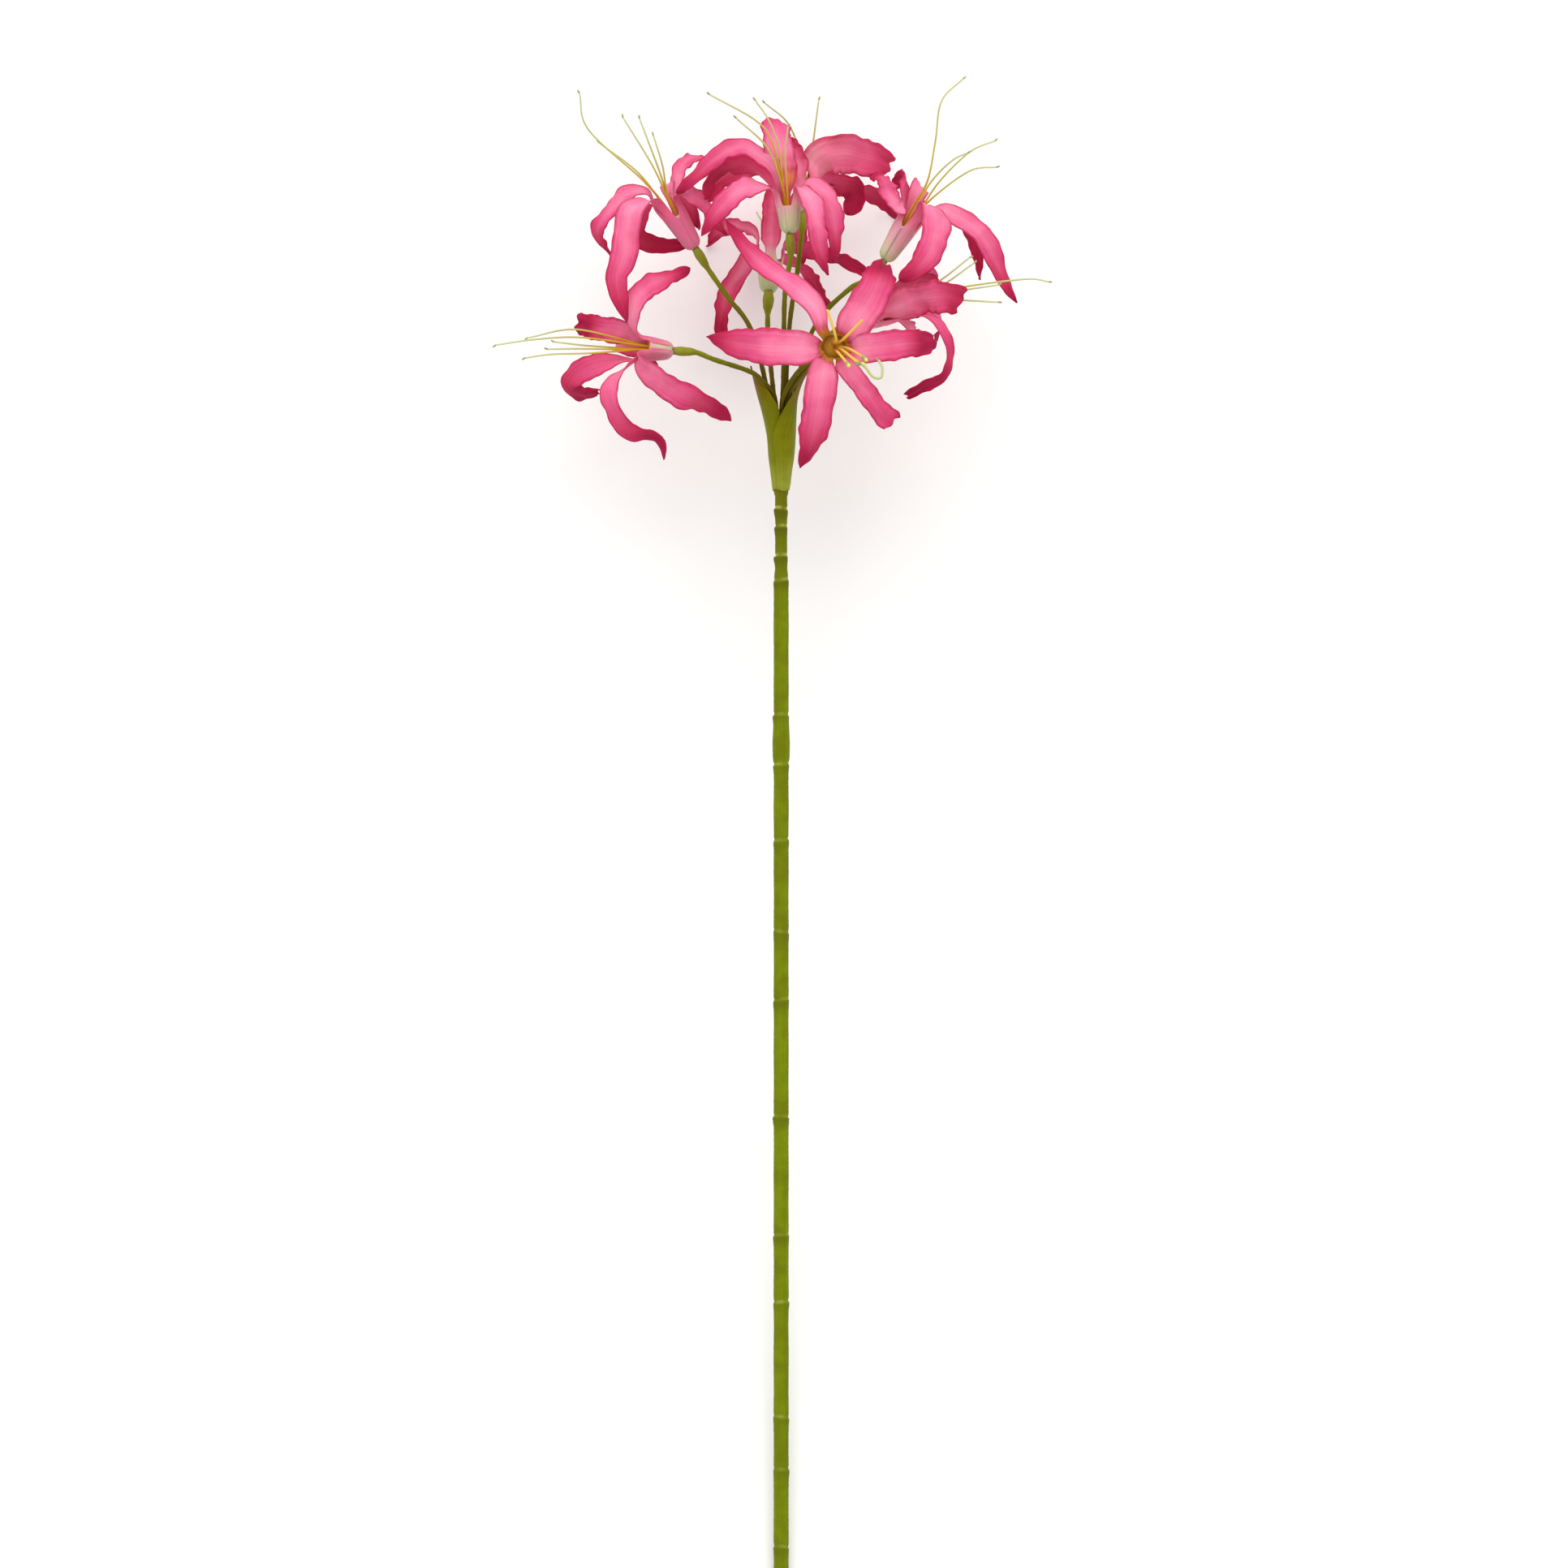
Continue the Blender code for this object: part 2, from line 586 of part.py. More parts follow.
def stem():
    """The stem with its sheath joints. Its top widens inside the bracts and carries the pedicels."""
    profile = [(STEM_END, STEM_RADIUS - STEM_EDGE["inset"])]
    profile.append((STEM_END + STEM_EDGE["height"], STEM_RADIUS))
    for height in sorted(STEM_JOINTS):
        proud = STEM_JOINTS[height]
        profile += [
            (height - JOINT["swells"], STEM_RADIUS),
            (height - JOINT["lip"], STEM_RADIUS + proud),
            (height, STEM_RADIUS - JOINT["drawn_in"]),
            (height + JOINT["runs_out"], STEM_RADIUS),
        ]
    profile += STEM_HEAD
    up = Vector((0, 1, 0))
    rings = [ring(frame_at(up * height, up), radius, STEM_SIDES) for height, radius in profile]
    return skin_rings(rings, "stem")


def bract(name, shape):
    rings = shape["rings"]
    steps = len(rings) - 1
    bm = bmesh.new()
    bmesh.ops.create_grid(bm, x_segments=steps, y_segments=BRACT_ACROSS, size=0.5)
    for vert in bm.verts:
        height, radius, half, closer = rings[round((vert.co.x + 0.5) * steps)]
        side = vert.co.y * 2
        turn = math.radians(shape["faces"] + half * side)
        reach = radius - closer * abs(side) ** 3
        vert.co = (reach * math.cos(turn), height, reach * math.sin(turn))
    bmesh.ops.triangulate(bm, faces=bm.faces)
    bmesh.ops.recalc_face_normals(bm, faces=bm.faces)
    bmesh.ops.solidify(bm, geom=bm.faces, thickness=BRACT_THICK)
    return object_from(bm, name)


# Materials and the whole


def give_material(obj, kind):
    name = "nerine_" + kind
    material = bpy.data.materials.get(name)
    if material is None:
        material = bpy.data.materials.new(name)
        material.use_nodes = True
        shader = material.node_tree.nodes["Principled BSDF"]
        shader.inputs["Base Color"].default_value = COLOURS[kind]
        shader.inputs["Roughness"].default_value = ROUGHNESS[kind]
    obj.data.materials.clear()
    obj.data.materials.append(material)
    obj.data.shade_smooth()
    obj.data.set_sharp_from_angle(angle=math.radians(40))


def lie_down(pieces):
    """Tips every piece from the stem's frame to how the stem lies."""
    lying = bpy.data.objects.new("lying", None)
    bpy.context.scene.collection.objects.link(lying)
    lying.rotation_euler = Euler((math.radians(LYING["tip"]), math.radians(LYING["roll"]), 0))
    lying.location = Vector(LYING["place"]) * MM
    for piece in pieces:
        piece.parent = lying


def main():
    for obj in list(bpy.data.objects):
        bpy.data.objects.remove(obj)
    makers = {"tepals": floret_tepals, "stamens": floret_stamens, "pedicel": floret_pedicel}
    pieces = [stem()]
    give_material(pieces[0], "stem")
    for name, shape in BRACTS.items():
        pieces.append(bract(name, shape))
        give_material(pieces[-1], "spathe")
    for name, floret in FLORETS.items():
        for kind, make in makers.items():
            pieces.append(make(name, floret))
            give_material(pieces[-1], kind)
    lie_down(pieces)


main()
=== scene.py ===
# A lying nerine stem seen from straight above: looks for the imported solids.
import math
import random

import bmesh
import bpy
from mathutils import Euler, Matrix, Vector


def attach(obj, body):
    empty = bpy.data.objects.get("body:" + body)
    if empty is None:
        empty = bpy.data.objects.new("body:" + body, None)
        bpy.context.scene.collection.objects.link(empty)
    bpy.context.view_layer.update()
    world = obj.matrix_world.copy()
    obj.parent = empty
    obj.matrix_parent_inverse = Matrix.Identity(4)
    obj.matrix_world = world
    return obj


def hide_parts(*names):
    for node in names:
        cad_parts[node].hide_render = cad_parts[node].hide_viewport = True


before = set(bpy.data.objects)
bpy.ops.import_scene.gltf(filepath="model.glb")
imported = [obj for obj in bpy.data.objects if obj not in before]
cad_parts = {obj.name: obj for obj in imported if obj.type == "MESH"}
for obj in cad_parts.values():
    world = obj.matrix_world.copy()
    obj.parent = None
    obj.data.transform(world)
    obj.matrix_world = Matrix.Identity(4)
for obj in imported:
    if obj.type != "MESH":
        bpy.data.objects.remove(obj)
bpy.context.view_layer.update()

body = "root"
print("frame loaded:", len(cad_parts), "nodes")

# Shapes are drawn in the stem's own frame in millimetres: x right, y along the stem with 0 at the
# cup's foot, z up. This is how that frame lies on the surface.
lying = {"tip": 6.92, "roll": -0.72, "place": (4.67, 171.29, 69.47)}
turned = Euler((math.radians(lying["tip"]), math.radians(lying["roll"]), 0)).to_matrix().to_4x4()
toWorld = Matrix.Scale(0.001, 4) @ Matrix.Translation(lying["place"]) @ turned


# Curves and frames

def smoothStep(low, high, value):
    t = min(max((value - low) / (high - low), 0), 1)
    return t * t * (3 - 2 * t)


def alongCurve(points, steps):
    # even steps along a smooth curve through the points
    ends = [points[0] * 2 - points[1], *points, points[-1] * 2 - points[-2]]
    fine = []
    for a, b, c, d in zip(ends, ends[1:], ends[2:], ends[3:]):
        for i in range(24):
            t = i / 24
            square = (2 * a - 5 * b + 4 * c - d) * t**2
            cube = (3 * b - a - 3 * c + d) * t**3
            fine.append(0.5 * (2 * b + (c - a) * t + square + cube))
    fine.append(points[-1])
    lengths = [0.0]
    for a, b in zip(fine, fine[1:]):
        lengths.append(lengths[-1] + (b - a).length)
    spread, i = [], 0
    for step in range(steps + 1):
        want = lengths[-1] * step / steps
        while i < len(fine) - 2 and lengths[i + 1] < want:
            i += 1
        share = (want - lengths[i]) / (lengths[i + 1] - lengths[i])
        spread.append(fine[i].lerp(fine[i + 1], share))
    return spread


def tangents(points):
    last = len(points) - 1
    return [(points[min(i + 1, last)] - points[max(i - 1, 0)]).normalized() for i in range(last + 1)]


def carriedNormals(points, first):
    # the first normal carried along the curve without turning about it
    along = tangents(points)
    normal = (first - along[0] * first.dot(along[0])).normalized()
    normals = [normal]
    for a, b in zip(along, along[1:]):
        normal = a.rotation_difference(b) @ normal
        normals.append((normal - b * normal.dot(b)).normalized())
    return normals


# Mesh helpers: every sheet and tube starts as a flat grid whose x runs along and y across

def newSheet(bm, alongSteps, acrossSteps, slot=0):
    verts = bmesh.ops.create_grid(bm, x_segments=alongSteps, y_segments=acrossSteps, size=0.5)["verts"]
    faces = list({face for vert in verts for face in vert.link_faces})
    uv = bm.loops.layers.uv.get("UVMap") or bm.loops.layers.uv.new("UVMap")
    for face in faces:
        face.material_index = slot
        for loop in face.loops:
            loop[uv].uv = (loop.vert.co.y + 0.5, loop.vert.co.x + 0.5)
    return verts, faces


def wrapTube(bm, path, radiusAt, sides, first=Vector((0, 0, 1)), slot=0, inward=False):
    # a tube round the path; a radius of 0 at an end closes it there
    steps = len(path) - 1
    along = tangents(path)
    normals = carriedNormals(path, first)
    verts, faces = newSheet(bm, steps, sides, slot)
    for vert in verts:
        i = round((vert.co.x + 0.5) * steps)
        turn = math.tau * (vert.co.y + 0.5)
        side = along[i].cross(normals[i])
        vert.co = path[i] + (normals[i] * math.cos(turn) + side * math.sin(turn)) * radiusAt(i, turn)
    if not inward:
        bmesh.ops.reverse_faces(bm, faces=faces)
    bmesh.ops.remove_doubles(bm, verts=verts, dist=0.0005)


def setTone(bm, value, fromVert=0):
    tone = bm.verts.layers.float.get("tone") or bm.verts.layers.float.new("tone")
    bm.verts.ensure_lookup_table()
    for vert in bm.verts[fromVert:]:
        vert[tone] = value


def finishPiece(bm, name, materials, slot, *nodes):
    bmesh.ops.transform(bm, matrix=toWorld, space=Matrix.Identity(4), verts=bm.verts)
    mesh = bpy.data.meshes.new(name)
    bm.to_mesh(mesh)
    bm.free()
    for material in materials:
        mesh.materials.append(material)
    mesh.shade_smooth()
    piece = bpy.data.objects.new(name, mesh)
    bpy.context.scene.collection.objects.link(piece)
    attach(piece, body)
    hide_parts(*nodes)
    return piece


# Materials

def rgb(code):
    # a screen colour such as "ff79a8" as the shader wants it
    parts = [int(code[i : i + 2], 16) / 255 for i in (0, 2, 4)]
    return (*[part / 12.92 if part <= 0.04045 else ((part + 0.055) / 1.055) ** 2.4 for part in parts], 1)


def addNode(tree, kind, **settings):
    node = tree.nodes.new(kind)
    for key, value in settings.items():
        setattr(node, key, value)
    return node


def addRamp(tree, factor, stops):
    ramp = addNode(tree, "ShaderNodeValToRGB")
    elements = ramp.color_ramp.elements
    elements.remove(elements[-1])
    for i, (at, colour) in enumerate(stops):
        element = elements.new(at) if i else elements[0]
        element.position = at
        element.color = rgb(colour) if isinstance(colour, str) else colour
    tree.links.new(factor, ramp.inputs["Fac"])
    return ramp.outputs["Color"]


def addMath(tree, operation, first, second=0.0):
    node = addNode(tree, "ShaderNodeMath", operation=operation)
    for socket, value in zip(node.inputs, (first, second)):
        if isinstance(value, (int, float)):
            socket.default_value = value
        else:
            tree.links.new(value, socket)
    return node.outputs[0]


def addMix(tree, factor, first, second, blend="MIX"):
    node = addNode(tree, "ShaderNodeMix", data_type="RGBA", blend_type=blend)
    for socket, value in zip((node.inputs[0], node.inputs[6], node.inputs[7]), (factor, first, second)):
        if isinstance(value, (int, float, tuple)):
            socket.default_value = value
        else:
            tree.links.new(value, socket)
    return node.outputs[2]


def addNoise(tree, vector, scale, detail=2.0, stretch=(1, 1, 1)):
    mapping = addNode(tree, "ShaderNodeMapping")
    mapping.inputs["Scale"].default_value = stretch
    tree.links.new(vector, mapping.inputs["Vector"])
    noise = addNode(tree, "ShaderNodeTexNoise")
    noise.inputs["Scale"].default_value = scale
    noise.inputs["Detail"].default_value = detail
    tree.links.new(mapping.outputs[0], noise.inputs["Vector"])
    return noise.outputs["Fac"]


def startMaterial(name, roughness, specular):
    material = bpy.data.materials.new(name)
    material.use_nodes = True
    tree = material.node_tree
    shader = tree.nodes["Principled BSDF"]
    shader.inputs["Roughness"].default_value = roughness
    shader.inputs["Specular IOR Level"].default_value = specular
    uv = addNode(tree, "ShaderNodeUVMap", uv_map="UVMap").outputs[0]
    split = addNode(tree, "ShaderNodeSeparateXYZ")
    tree.links.new(uv, split.inputs[0])
    tone = addNode(tree, "ShaderNodeAttribute", attribute_name="tone").outputs["Fac"]
    return material, tree, shader, uv, split.outputs["X"], split.outputs["Y"], tone


def addBump(tree, shader, height, strength, distance):
    bump = addNode(tree, "ShaderNodeBump")
    bump.inputs["Strength"].default_value = strength
    bump.inputs["Distance"].default_value = distance
    tree.links.new(height, bump.inputs["Height"])
    tree.links.new(bump.outputs[0], shader.inputs["Normal"])


black = (0, 0, 0, 1)
white = (1, 1, 1, 1)

# the two sides of the cloth from the foot of the tube, at 0, to the tip, at 1; the outer side is a little
# darker than the inner, a painted shade for sides turned from the light
petalLook = {
    "innerAlong": [
        (0, "c4ac28"), (0.1, "c8a62f"), (0.16, "cf8438"), (0.2, "c64e68"), (0.27, "e4769a"),
        (0.4, "eb84a6"), (0.58, "e36993"), (0.74, "d54f7f"), (0.87, "c1345d"), (0.95, "ad1f4b"),
        (1, "a01843"),
    ],
    "outerShadedAlong": [
        (0, "b9bd8a"), (0.09, "cbc39c"), (0.16, "e0a0ab"), (0.24, "dd758f"), (0.42, "dc668a"),
        (0.68, "d34a75"), (0.86, "c2325a"), (1, "aa1c47"),
    ],
    "toneShift": 0.25,  # how far a tone moves the colours along
    "run": 0.16,  # how far the colours run into one another
    "runStretch": (9, 1.2, 1),
    "patches": 75,
    # a painted highlight: a light band up each tepal's middle, in the colour named light
    "highlightRagged": 0.3,
    "band": [(0.16, (0.42, 0.42, 0.42, 1)), (0.42, black)],
    "highlightAlong": [(0.18, black), (0.34, white), (0.62, (0.8, 0.8, 0.8, 1)), (0.9, black)],
    "highlightByTone": [(0.7, white), (1.0, (0.15, 0.15, 0.15, 1))],
    "light": "fba4be",
    "aboveTube": [(0.16, black), (0.36, white)],
    "deepPatches": [(0.42, black), (0.66, (0.7, 0.7, 0.7, 1))],
    "deep": (0.88, 0.62, 0.75, 1),
    "edgeRagged": 0.14,
    "edgeWave": (1, 4, 1),
    "edgeFrom": [(0.44, black), (0.57, white)],
    "edge": "b41c48",
    "edgeShare": 0.8,
    "veins": (34, 2.2, 1),
    "veinDark": [(0.3, (0.85, 0.56, 0.65, 1)), (0.62, white)],
    "streak": 0.34,
    "tubeStreak": 0.1,
    "veinBump": 0.35,
    "veinDepth": 0.0004,
    "through": 0.25,  # the light that passes the thin cloth, how far and in which colour
    "throughScale": 0.0016,
    "throughColour": (1.0, 0.18, 0.3),
    "roughness": 0.65,
    "specular": 0.12,
}


def placeOnPiece(tree):
    return addNode(tree, "ShaderNodeTexCoord").outputs["Object"]


def addProduct(tree, first, second):
    return addMath(tree, "MULTIPLY", first, second)


def petalCloth(name, along):
    look = petalLook
    parts = startMaterial(name, look["roughness"], look["specular"])
    material, tree, shader, uv, across, up, tone = parts
    # light passes through the thin cloth and comes out redder
    shader.inputs["Subsurface Weight"].default_value = look["through"]
    shader.inputs["Subsurface Radius"].default_value = look["throughColour"]
    shader.inputs["Subsurface Scale"].default_value = look["throughScale"]
    # the printed colour runs in streaks from the pale tube to the deep tip
    shift = addProduct(tree, addMath(tree, "SUBTRACT", tone, 0.5), look["toneShift"])
    run = addMath(tree, "SUBTRACT", addNoise(tree, uv, 1, 2, look["runStretch"]), 0.5)
    shift = addMath(tree, "ADD", shift, addProduct(tree, run, look["run"]))
    colour = addRamp(tree, addMath(tree, "ADD", up, shift), along)
    # a painted highlight, a light band up the middle, and broad deeper patches
    patches = addNoise(tree, placeOnPiece(tree), look["patches"], 2)
    fromMiddle = addMath(tree, "ABSOLUTE", addMath(tree, "SUBTRACT", across, 0.5))
    wavering = addMath(tree, "ADD", fromMiddle, addProduct(tree, patches, look["highlightRagged"]))
    band = addRamp(tree, wavering, look["band"])
    middle = addRamp(tree, up, look["highlightAlong"])
    plain = addRamp(tree, tone, look["highlightByTone"])
    band = addProduct(tree, addProduct(tree, band, middle), plain)
    colour = addMix(tree, band, colour, rgb(look["light"]))
    above = addRamp(tree, up, look["aboveTube"])
    depth = addRamp(tree, patches, look["deepPatches"])
    colour = addMix(tree, addProduct(tree, depth, middle), colour, look["deep"], "MULTIPLY")
    # crimson at the margin
    ragged = addProduct(tree, addNoise(tree, uv, 6, 3, look["edgeWave"]), look["edgeRagged"])
    margin = addRamp(tree, addMath(tree, "ADD", fromMiddle, ragged), look["edgeFrom"])
    edge = addProduct(tree, addProduct(tree, margin, above), look["edgeShare"])
    colour = addMix(tree, edge, colour, rgb(look["edge"]))
    # fine lengthwise veins, fainter on the tube
    veins = addNoise(tree, uv, 1, 4, look["veins"])
    dark = addRamp(tree, veins, look["veinDark"])
    faint = addMath(tree, "ADD", addProduct(tree, above, look["streak"]), look["tubeStreak"])
    colour = addMix(tree, faint, colour, dark, "MULTIPLY")
    tree.links.new(colour, shader.inputs["Base Color"])
    addBump(tree, shader, veins, look["veinBump"], look["veinDepth"])
    return material


petalInner = petalCloth("petalInner", petalLook["innerAlong"])
# the outer side, its colours a little darker as a painted shade
petalOuterShaded = petalCloth("petalOuterShaded", petalLook["outerShadedAlong"])
print("petal cloth ready")


# what all the plastics have alike
plastic = {
    "specular": 0.06,
    "patches": 160,
    "lineStretch": 5,
    "lineColour": [(0.35, (0.8, 0.8, 0.74, 1)), (0.6, white)],
    "lineShare": 0.6,
    "bumpDepth": 0.0003,
    "turn": 1.7,  # how fast a tone above 0.5 brings a piece's other colour
}


def mouldedPlastic(name, look):
    # coloured along the piece, mottled, with lengthwise streaks
    parts = startMaterial(name, look["roughness"], plastic["specular"])
    material, tree, shader, uv, across, up, tone = parts
    colour = addRamp(tree, up, look["along"])
    patches = addNoise(tree, placeOnPiece(tree), plastic["patches"], 3)
    mottle = look["mottle"]
    shade = addRamp(tree, patches, [(0.3, (mottle, mottle, mottle, 1)), (0.7, white)])
    colour = addMix(tree, 1.0, colour, shade, "MULTIPLY")
    lines = addNoise(tree, uv, 1, 3, (look["streaks"], plastic["lineStretch"], 1))
    faint = addRamp(tree, lines, plastic["lineColour"])
    colour = addMix(tree, plastic["lineShare"], colour, faint, "MULTIPLY")
    tree.links.new(colour, shader.inputs["Base Color"])
    addBump(tree, shader, lines, look["bump"], plastic["bumpDepth"])
    return material, tree, shader, tone, colour


stemLook = {
    "along": [(0, "717f04"), (0.5, "768504"), (0.86, "768304"), (0.92, "717608"), (1, "76720a")],
    "roughness": 0.45,
    "mottle": 0.82,
    "streaks": 14,
    "bump": 0.3,
    # a joint's pale lip is the sheath's light edge and partly a painted highlight; the dark colour under
    # it is a painted shade
    "lip": "b4b85c",
    "shadeUnderLip": "4c4e08",
    "brown": "666c04",
    "patches": 70,
    "brownFrom": [(0.46, black), (0.62, (0.75, 0.75, 0.75, 1))],
    "lipFades": [(0.3, white), (0.6, (0.35, 0.35, 0.35, 1))],
}
spatheLook = {
    "along": [
        (0, "9da138"), (0.12, "80840c"), (0.4, "777a04"), (0.6, "786f04"), (0.8, "765c08"),
        (1, "684a0a"),
    ],
    "roughness": 0.42,
    "mottle": 0.85,
    "streaks": 26,
    "bump": 0.5,
}
spatheInsideLook = dict(spatheLook, along=[(0, "4a4a0a"), (0.5, "55480a"), (1, "6a560e")])
pedicelLook = {
    "along": [
        (0, "4e450a"), (0.3, "62540c"), (0.6, "6c660e"), (0.78, "7a7c12"), (0.9, "8a8e22"),
        (1, "9a9c3a"),
    ],
    "roughness": 0.45,
    "mottle": 0.75,
    "streaks": 8,
    "bump": 0.35,
}
filamentLook = {
    "along": [(0, "c8801f"), (0.3, "d09a2e"), (0.5, "c4b548"), (0.72, "bfc07c"), (1, "cdd0a4")],
    "other": "ecb548",
    "roughness": 0.4,
    "mottle": 0.92,
    "streaks": 4,
    "bump": 0.1,
}
antherLook = {
    "along": [(0, "aeb07a"), (0.5, "c2c48e"), (1, "a4a672")],
    "other": "dbe65c",
    "roughness": 0.7,
    "mottle": 0.7,
    "streaks": 6,
    "bump": 0.4,
}
stemGreen, tree, shader, tone, colour = mouldedPlastic("stemGreen", stemLook)
# brown shows in patches along the stem, and the pale lips are fainter there
worn = addNoise(tree, placeOnPiece(tree), stemLook["patches"], 2)
brown = addRamp(tree, worn, stemLook["brownFrom"])
colour = addMix(tree, brown, colour, rgb(stemLook["brown"]))
broken = addRamp(tree, worn, stemLook["lipFades"])
# the tone attribute is 0.5 where plain, higher on the pale lip of a joint and lower under it; the pale
# lip is the sheath's light edge and partly a painted highlight, and the dark under it is a painted shade
doubled = addProduct(tree, addMath(tree, "SUBTRACT", tone, 0.5), 2)
lips = addMix(tree, addProduct(tree, doubled, broken), colour, rgb(stemLook["lip"]))
shaded = addMix(tree, addProduct(tree, doubled, -1.0), lips, rgb(stemLook["shadeUnderLip"]))
tree.links.new(shaded, shader.inputs["Base Color"])
spatheGreen = mouldedPlastic("spatheGreen", spatheLook)[0]
spatheInside = mouldedPlastic("spatheInside", spatheInsideLook)[0]
pedicelGreen = mouldedPlastic("pedicelGreen", pedicelLook)[0]


def turnedByTone(name, look):
    # the tone attribute is 0.5 where plain and 1 where the other colour shows
    material, tree, shader, tone, colour = mouldedPlastic(name, look)
    other = addProduct(tree, addMath(tree, "SUBTRACT", tone, 0.5), plastic["turn"])
    tree.links.new(addMix(tree, other, colour, rgb(look["other"])), shader.inputs["Base Color"])
    return material


filamentYellow = turnedByTone("filamentYellow", filamentLook)
antherGrey = turnedByTone("antherGrey", antherLook)
print("greens and stamen finishes ready")


# The stem: sheaths that end on one another at joints

stem = {
    "end": -547.0,
    "top": 18.0,
    "radius": 3.75,
    "collar": [(-1, 3.6), (8, 4.0), (16, 4.6), (18, 4.5)],  # height and radius inside the bracts
    "joints": {  # the height of each, and how far its lip stands out
        -9.2: 0.7, -18: 0.5, -32.4: 0.8, -44.4: 0.2, -110.8: 0.6, -135.2: 0.5, -172.4: 0.4, -217.6: 0.2,
        -251.2: 0.4, -308.8: 0.6, -367.2: 0.4, -400: 0.4, -456.8: 0.3, -482.4: 0.4, -520.8: 0.2,
    },
    "swells": 6,  # how far below its joint a lip has run out again
    "lip": 0.6,
    "lipSide": 0.35,  # how much more it stands out on the flap's side
    "runsOut": 2,  # how far above its joint a notch has run out
    "sheath": (-135.2, -110.8, 0.55),  # from where to where it swells, and how far
    "sheathLean": 0.7,
    "neck": (-46, -38, 0.7),  # between which heights it slims towards the cup, and by how much
    "neckTop": (-3, -1),
    "notch": 0.3,
    "faintLips": (-50, 0.5),  # below this height the joints' colours are fainter
    "slant": 0.4,
    "wavy": 0.05,
    "wavePitch": 0.21,
    "grain": 0.05,
    "paleAndHighlightTone": 0.42,
    "shadeTone": 0.28,
    "shadeReach": 8,
    "step": 0.7,
    "sides": 28,
    "seed": 5,
}


def stemRadius(height, turn, flaps):
    # the sheath's lip stands out on one side below each notch
    collar = stem["collar"]
    if height >= collar[0][0]:
        for (low, small), (high, large) in zip(collar, collar[1:]):
            if height <= high:
                return small + (large - small) * (height - low) / (high - low)
    low, high, slimmer = stem["neck"]
    slim = smoothStep(low, high, height) * (1 - smoothStep(*stem["neckTop"], height))
    radius = stem["radius"] - slimmer * slim
    for joint, proud in stem["joints"].items():
        below = joint - height + stem["slant"] * math.sin(turn - flaps[joint])
        side = 1 - stem["lipSide"] * (1 - math.cos(turn - flaps[joint]))
        if 0 < below < stem["swells"]:
            fade = 1 - smoothStep(stem["lip"], stem["swells"], below)
            radius += proud * side * fade * smoothStep(0, stem["lip"], below)
        elif -stem["runsOut"] < below <= 0:
            radius -= stem["notch"] * (1 - smoothStep(0, stem["runsOut"], -below))
    low, high, proud = stem["sheath"]
    if low < height < high:
        radius += proud * math.sin(math.pi * ((height - low) / (high - low)) ** stem["sheathLean"])
    return radius


def makeStem():
    random.seed(stem["seed"])
    flaps = {joint: random.uniform(0, math.tau) for joint in stem["joints"]}
    count = round((stem["top"] - stem["end"]) / stem["step"])
    heights = [stem["end"] + (stem["top"] - stem["end"]) * i / count for i in range(count + 1)]
    path = [Vector((0, height, 0)) for height in heights]
    path = [path[0], *path, path[-1]]
    heights = [heights[0], *heights, heights[-1]]
    last = len(path) - 1
    grain = [random.uniform(-stem["grain"], stem["grain"]) for _ in path]

    def radiusAt(i, turn):
        if i in (0, last):
            return 0
        wave = stem["wavy"] * (math.sin(heights[i] * stem["wavePitch"] + 2 * turn) - 1)
        rough = grain[i] if heights[i] < 0 else 0
        return stemRadius(heights[i], turn, flaps) + wave + rough

    bm = bmesh.new()
    wrapTube(bm, nudged(path), radiusAt, stem["sides"])
    setTone(bm, 0.5)
    layer = bm.verts.layers.float["tone"]
    for vert in bm.verts:
        turn = math.atan2(vert.co.x, vert.co.z)
        for joint in stem["joints"]:
            below = joint - vert.co.y + stem["slant"] * math.sin(turn - flaps[joint])
            if -3 < below < stem["shadeReach"]:
                uneven = 0.6 + 0.4 * math.sin(3 * turn + joint)
                # a pale line at the joint, the sheath's edge and partly a painted highlight, and under it
                # a painted shade on the lip
                pale = 1 - smoothStep(0.3, 1.1, abs(below + 0.4))
                dark = smoothStep(0.3, 1.2, below) * (1 - smoothStep(1.2, stem["shadeReach"], below))
                faint = 1 if joint > stem["faintLips"][0] else stem["faintLips"][1]
                shade = stem["paleAndHighlightTone"] * pale * uneven - stem["shadeTone"] * dark
                vert[layer] = 0.5 + faint * shade
    finishPiece(bm, "stemSheathed", [stemGreen], "stem_green", "stem")


def nudged(path):
    # doubled end points are set a hair apart, so that every stretch of the path has a direction
    path[0] = path[0] - (path[2] - path[1]) * 0.001
    path[-1] = path[-1] + (path[-2] - path[-3]) * 0.001
    return path


makeStem()
print("stem done")


# The spathe: two bracts that wrap one another at the front. A ring is its height, its radius, the
# half angle that it wraps and how much closer its edges lie.

spathe = {
    "thick": 0.55,
    "alongSteps": 46,
    "acrossSteps": 30,
    "vein": 0.10,
    "veins": 22,
    "veinsFrom": (2, 12),
    "waver": 0.25,  # the edges' waver towards the tip
    "waverPitch": 0.5,
    "waverFrom": (30, 50),
    "foot": 4.0,
    "footIn": 0.25,
    "footWaves": 0.5,
    "left": {
        "faces": 180,
        "rings": [
            (0, 4.45, 72, 0), (9, 5.3, 71, 0.2), (17, 6.3, 74, 0.9), (27, 7.1, 90, 1.6),
            (38, 9.4, 86, 1.9), (46, 11.6, 64, 0.8), (54, 13.6, 34, 0), (61, 15.2, 6, 0),
        ],
    },
    "right": {
        "faces": 0,
        "rings": [
            (0, 4.45, 118, -0.5), (9, 5.3, 116, -0.6), (17, 6.5, 117, -0.9), (27, 7.2, 123, -1.4),
            (38, 7.6, 88, -1.2), (46, 8.4, 58, -0.6), (54, 11.0, 32, 0), (61, 15.0, 6, 0),
        ],
    },
}


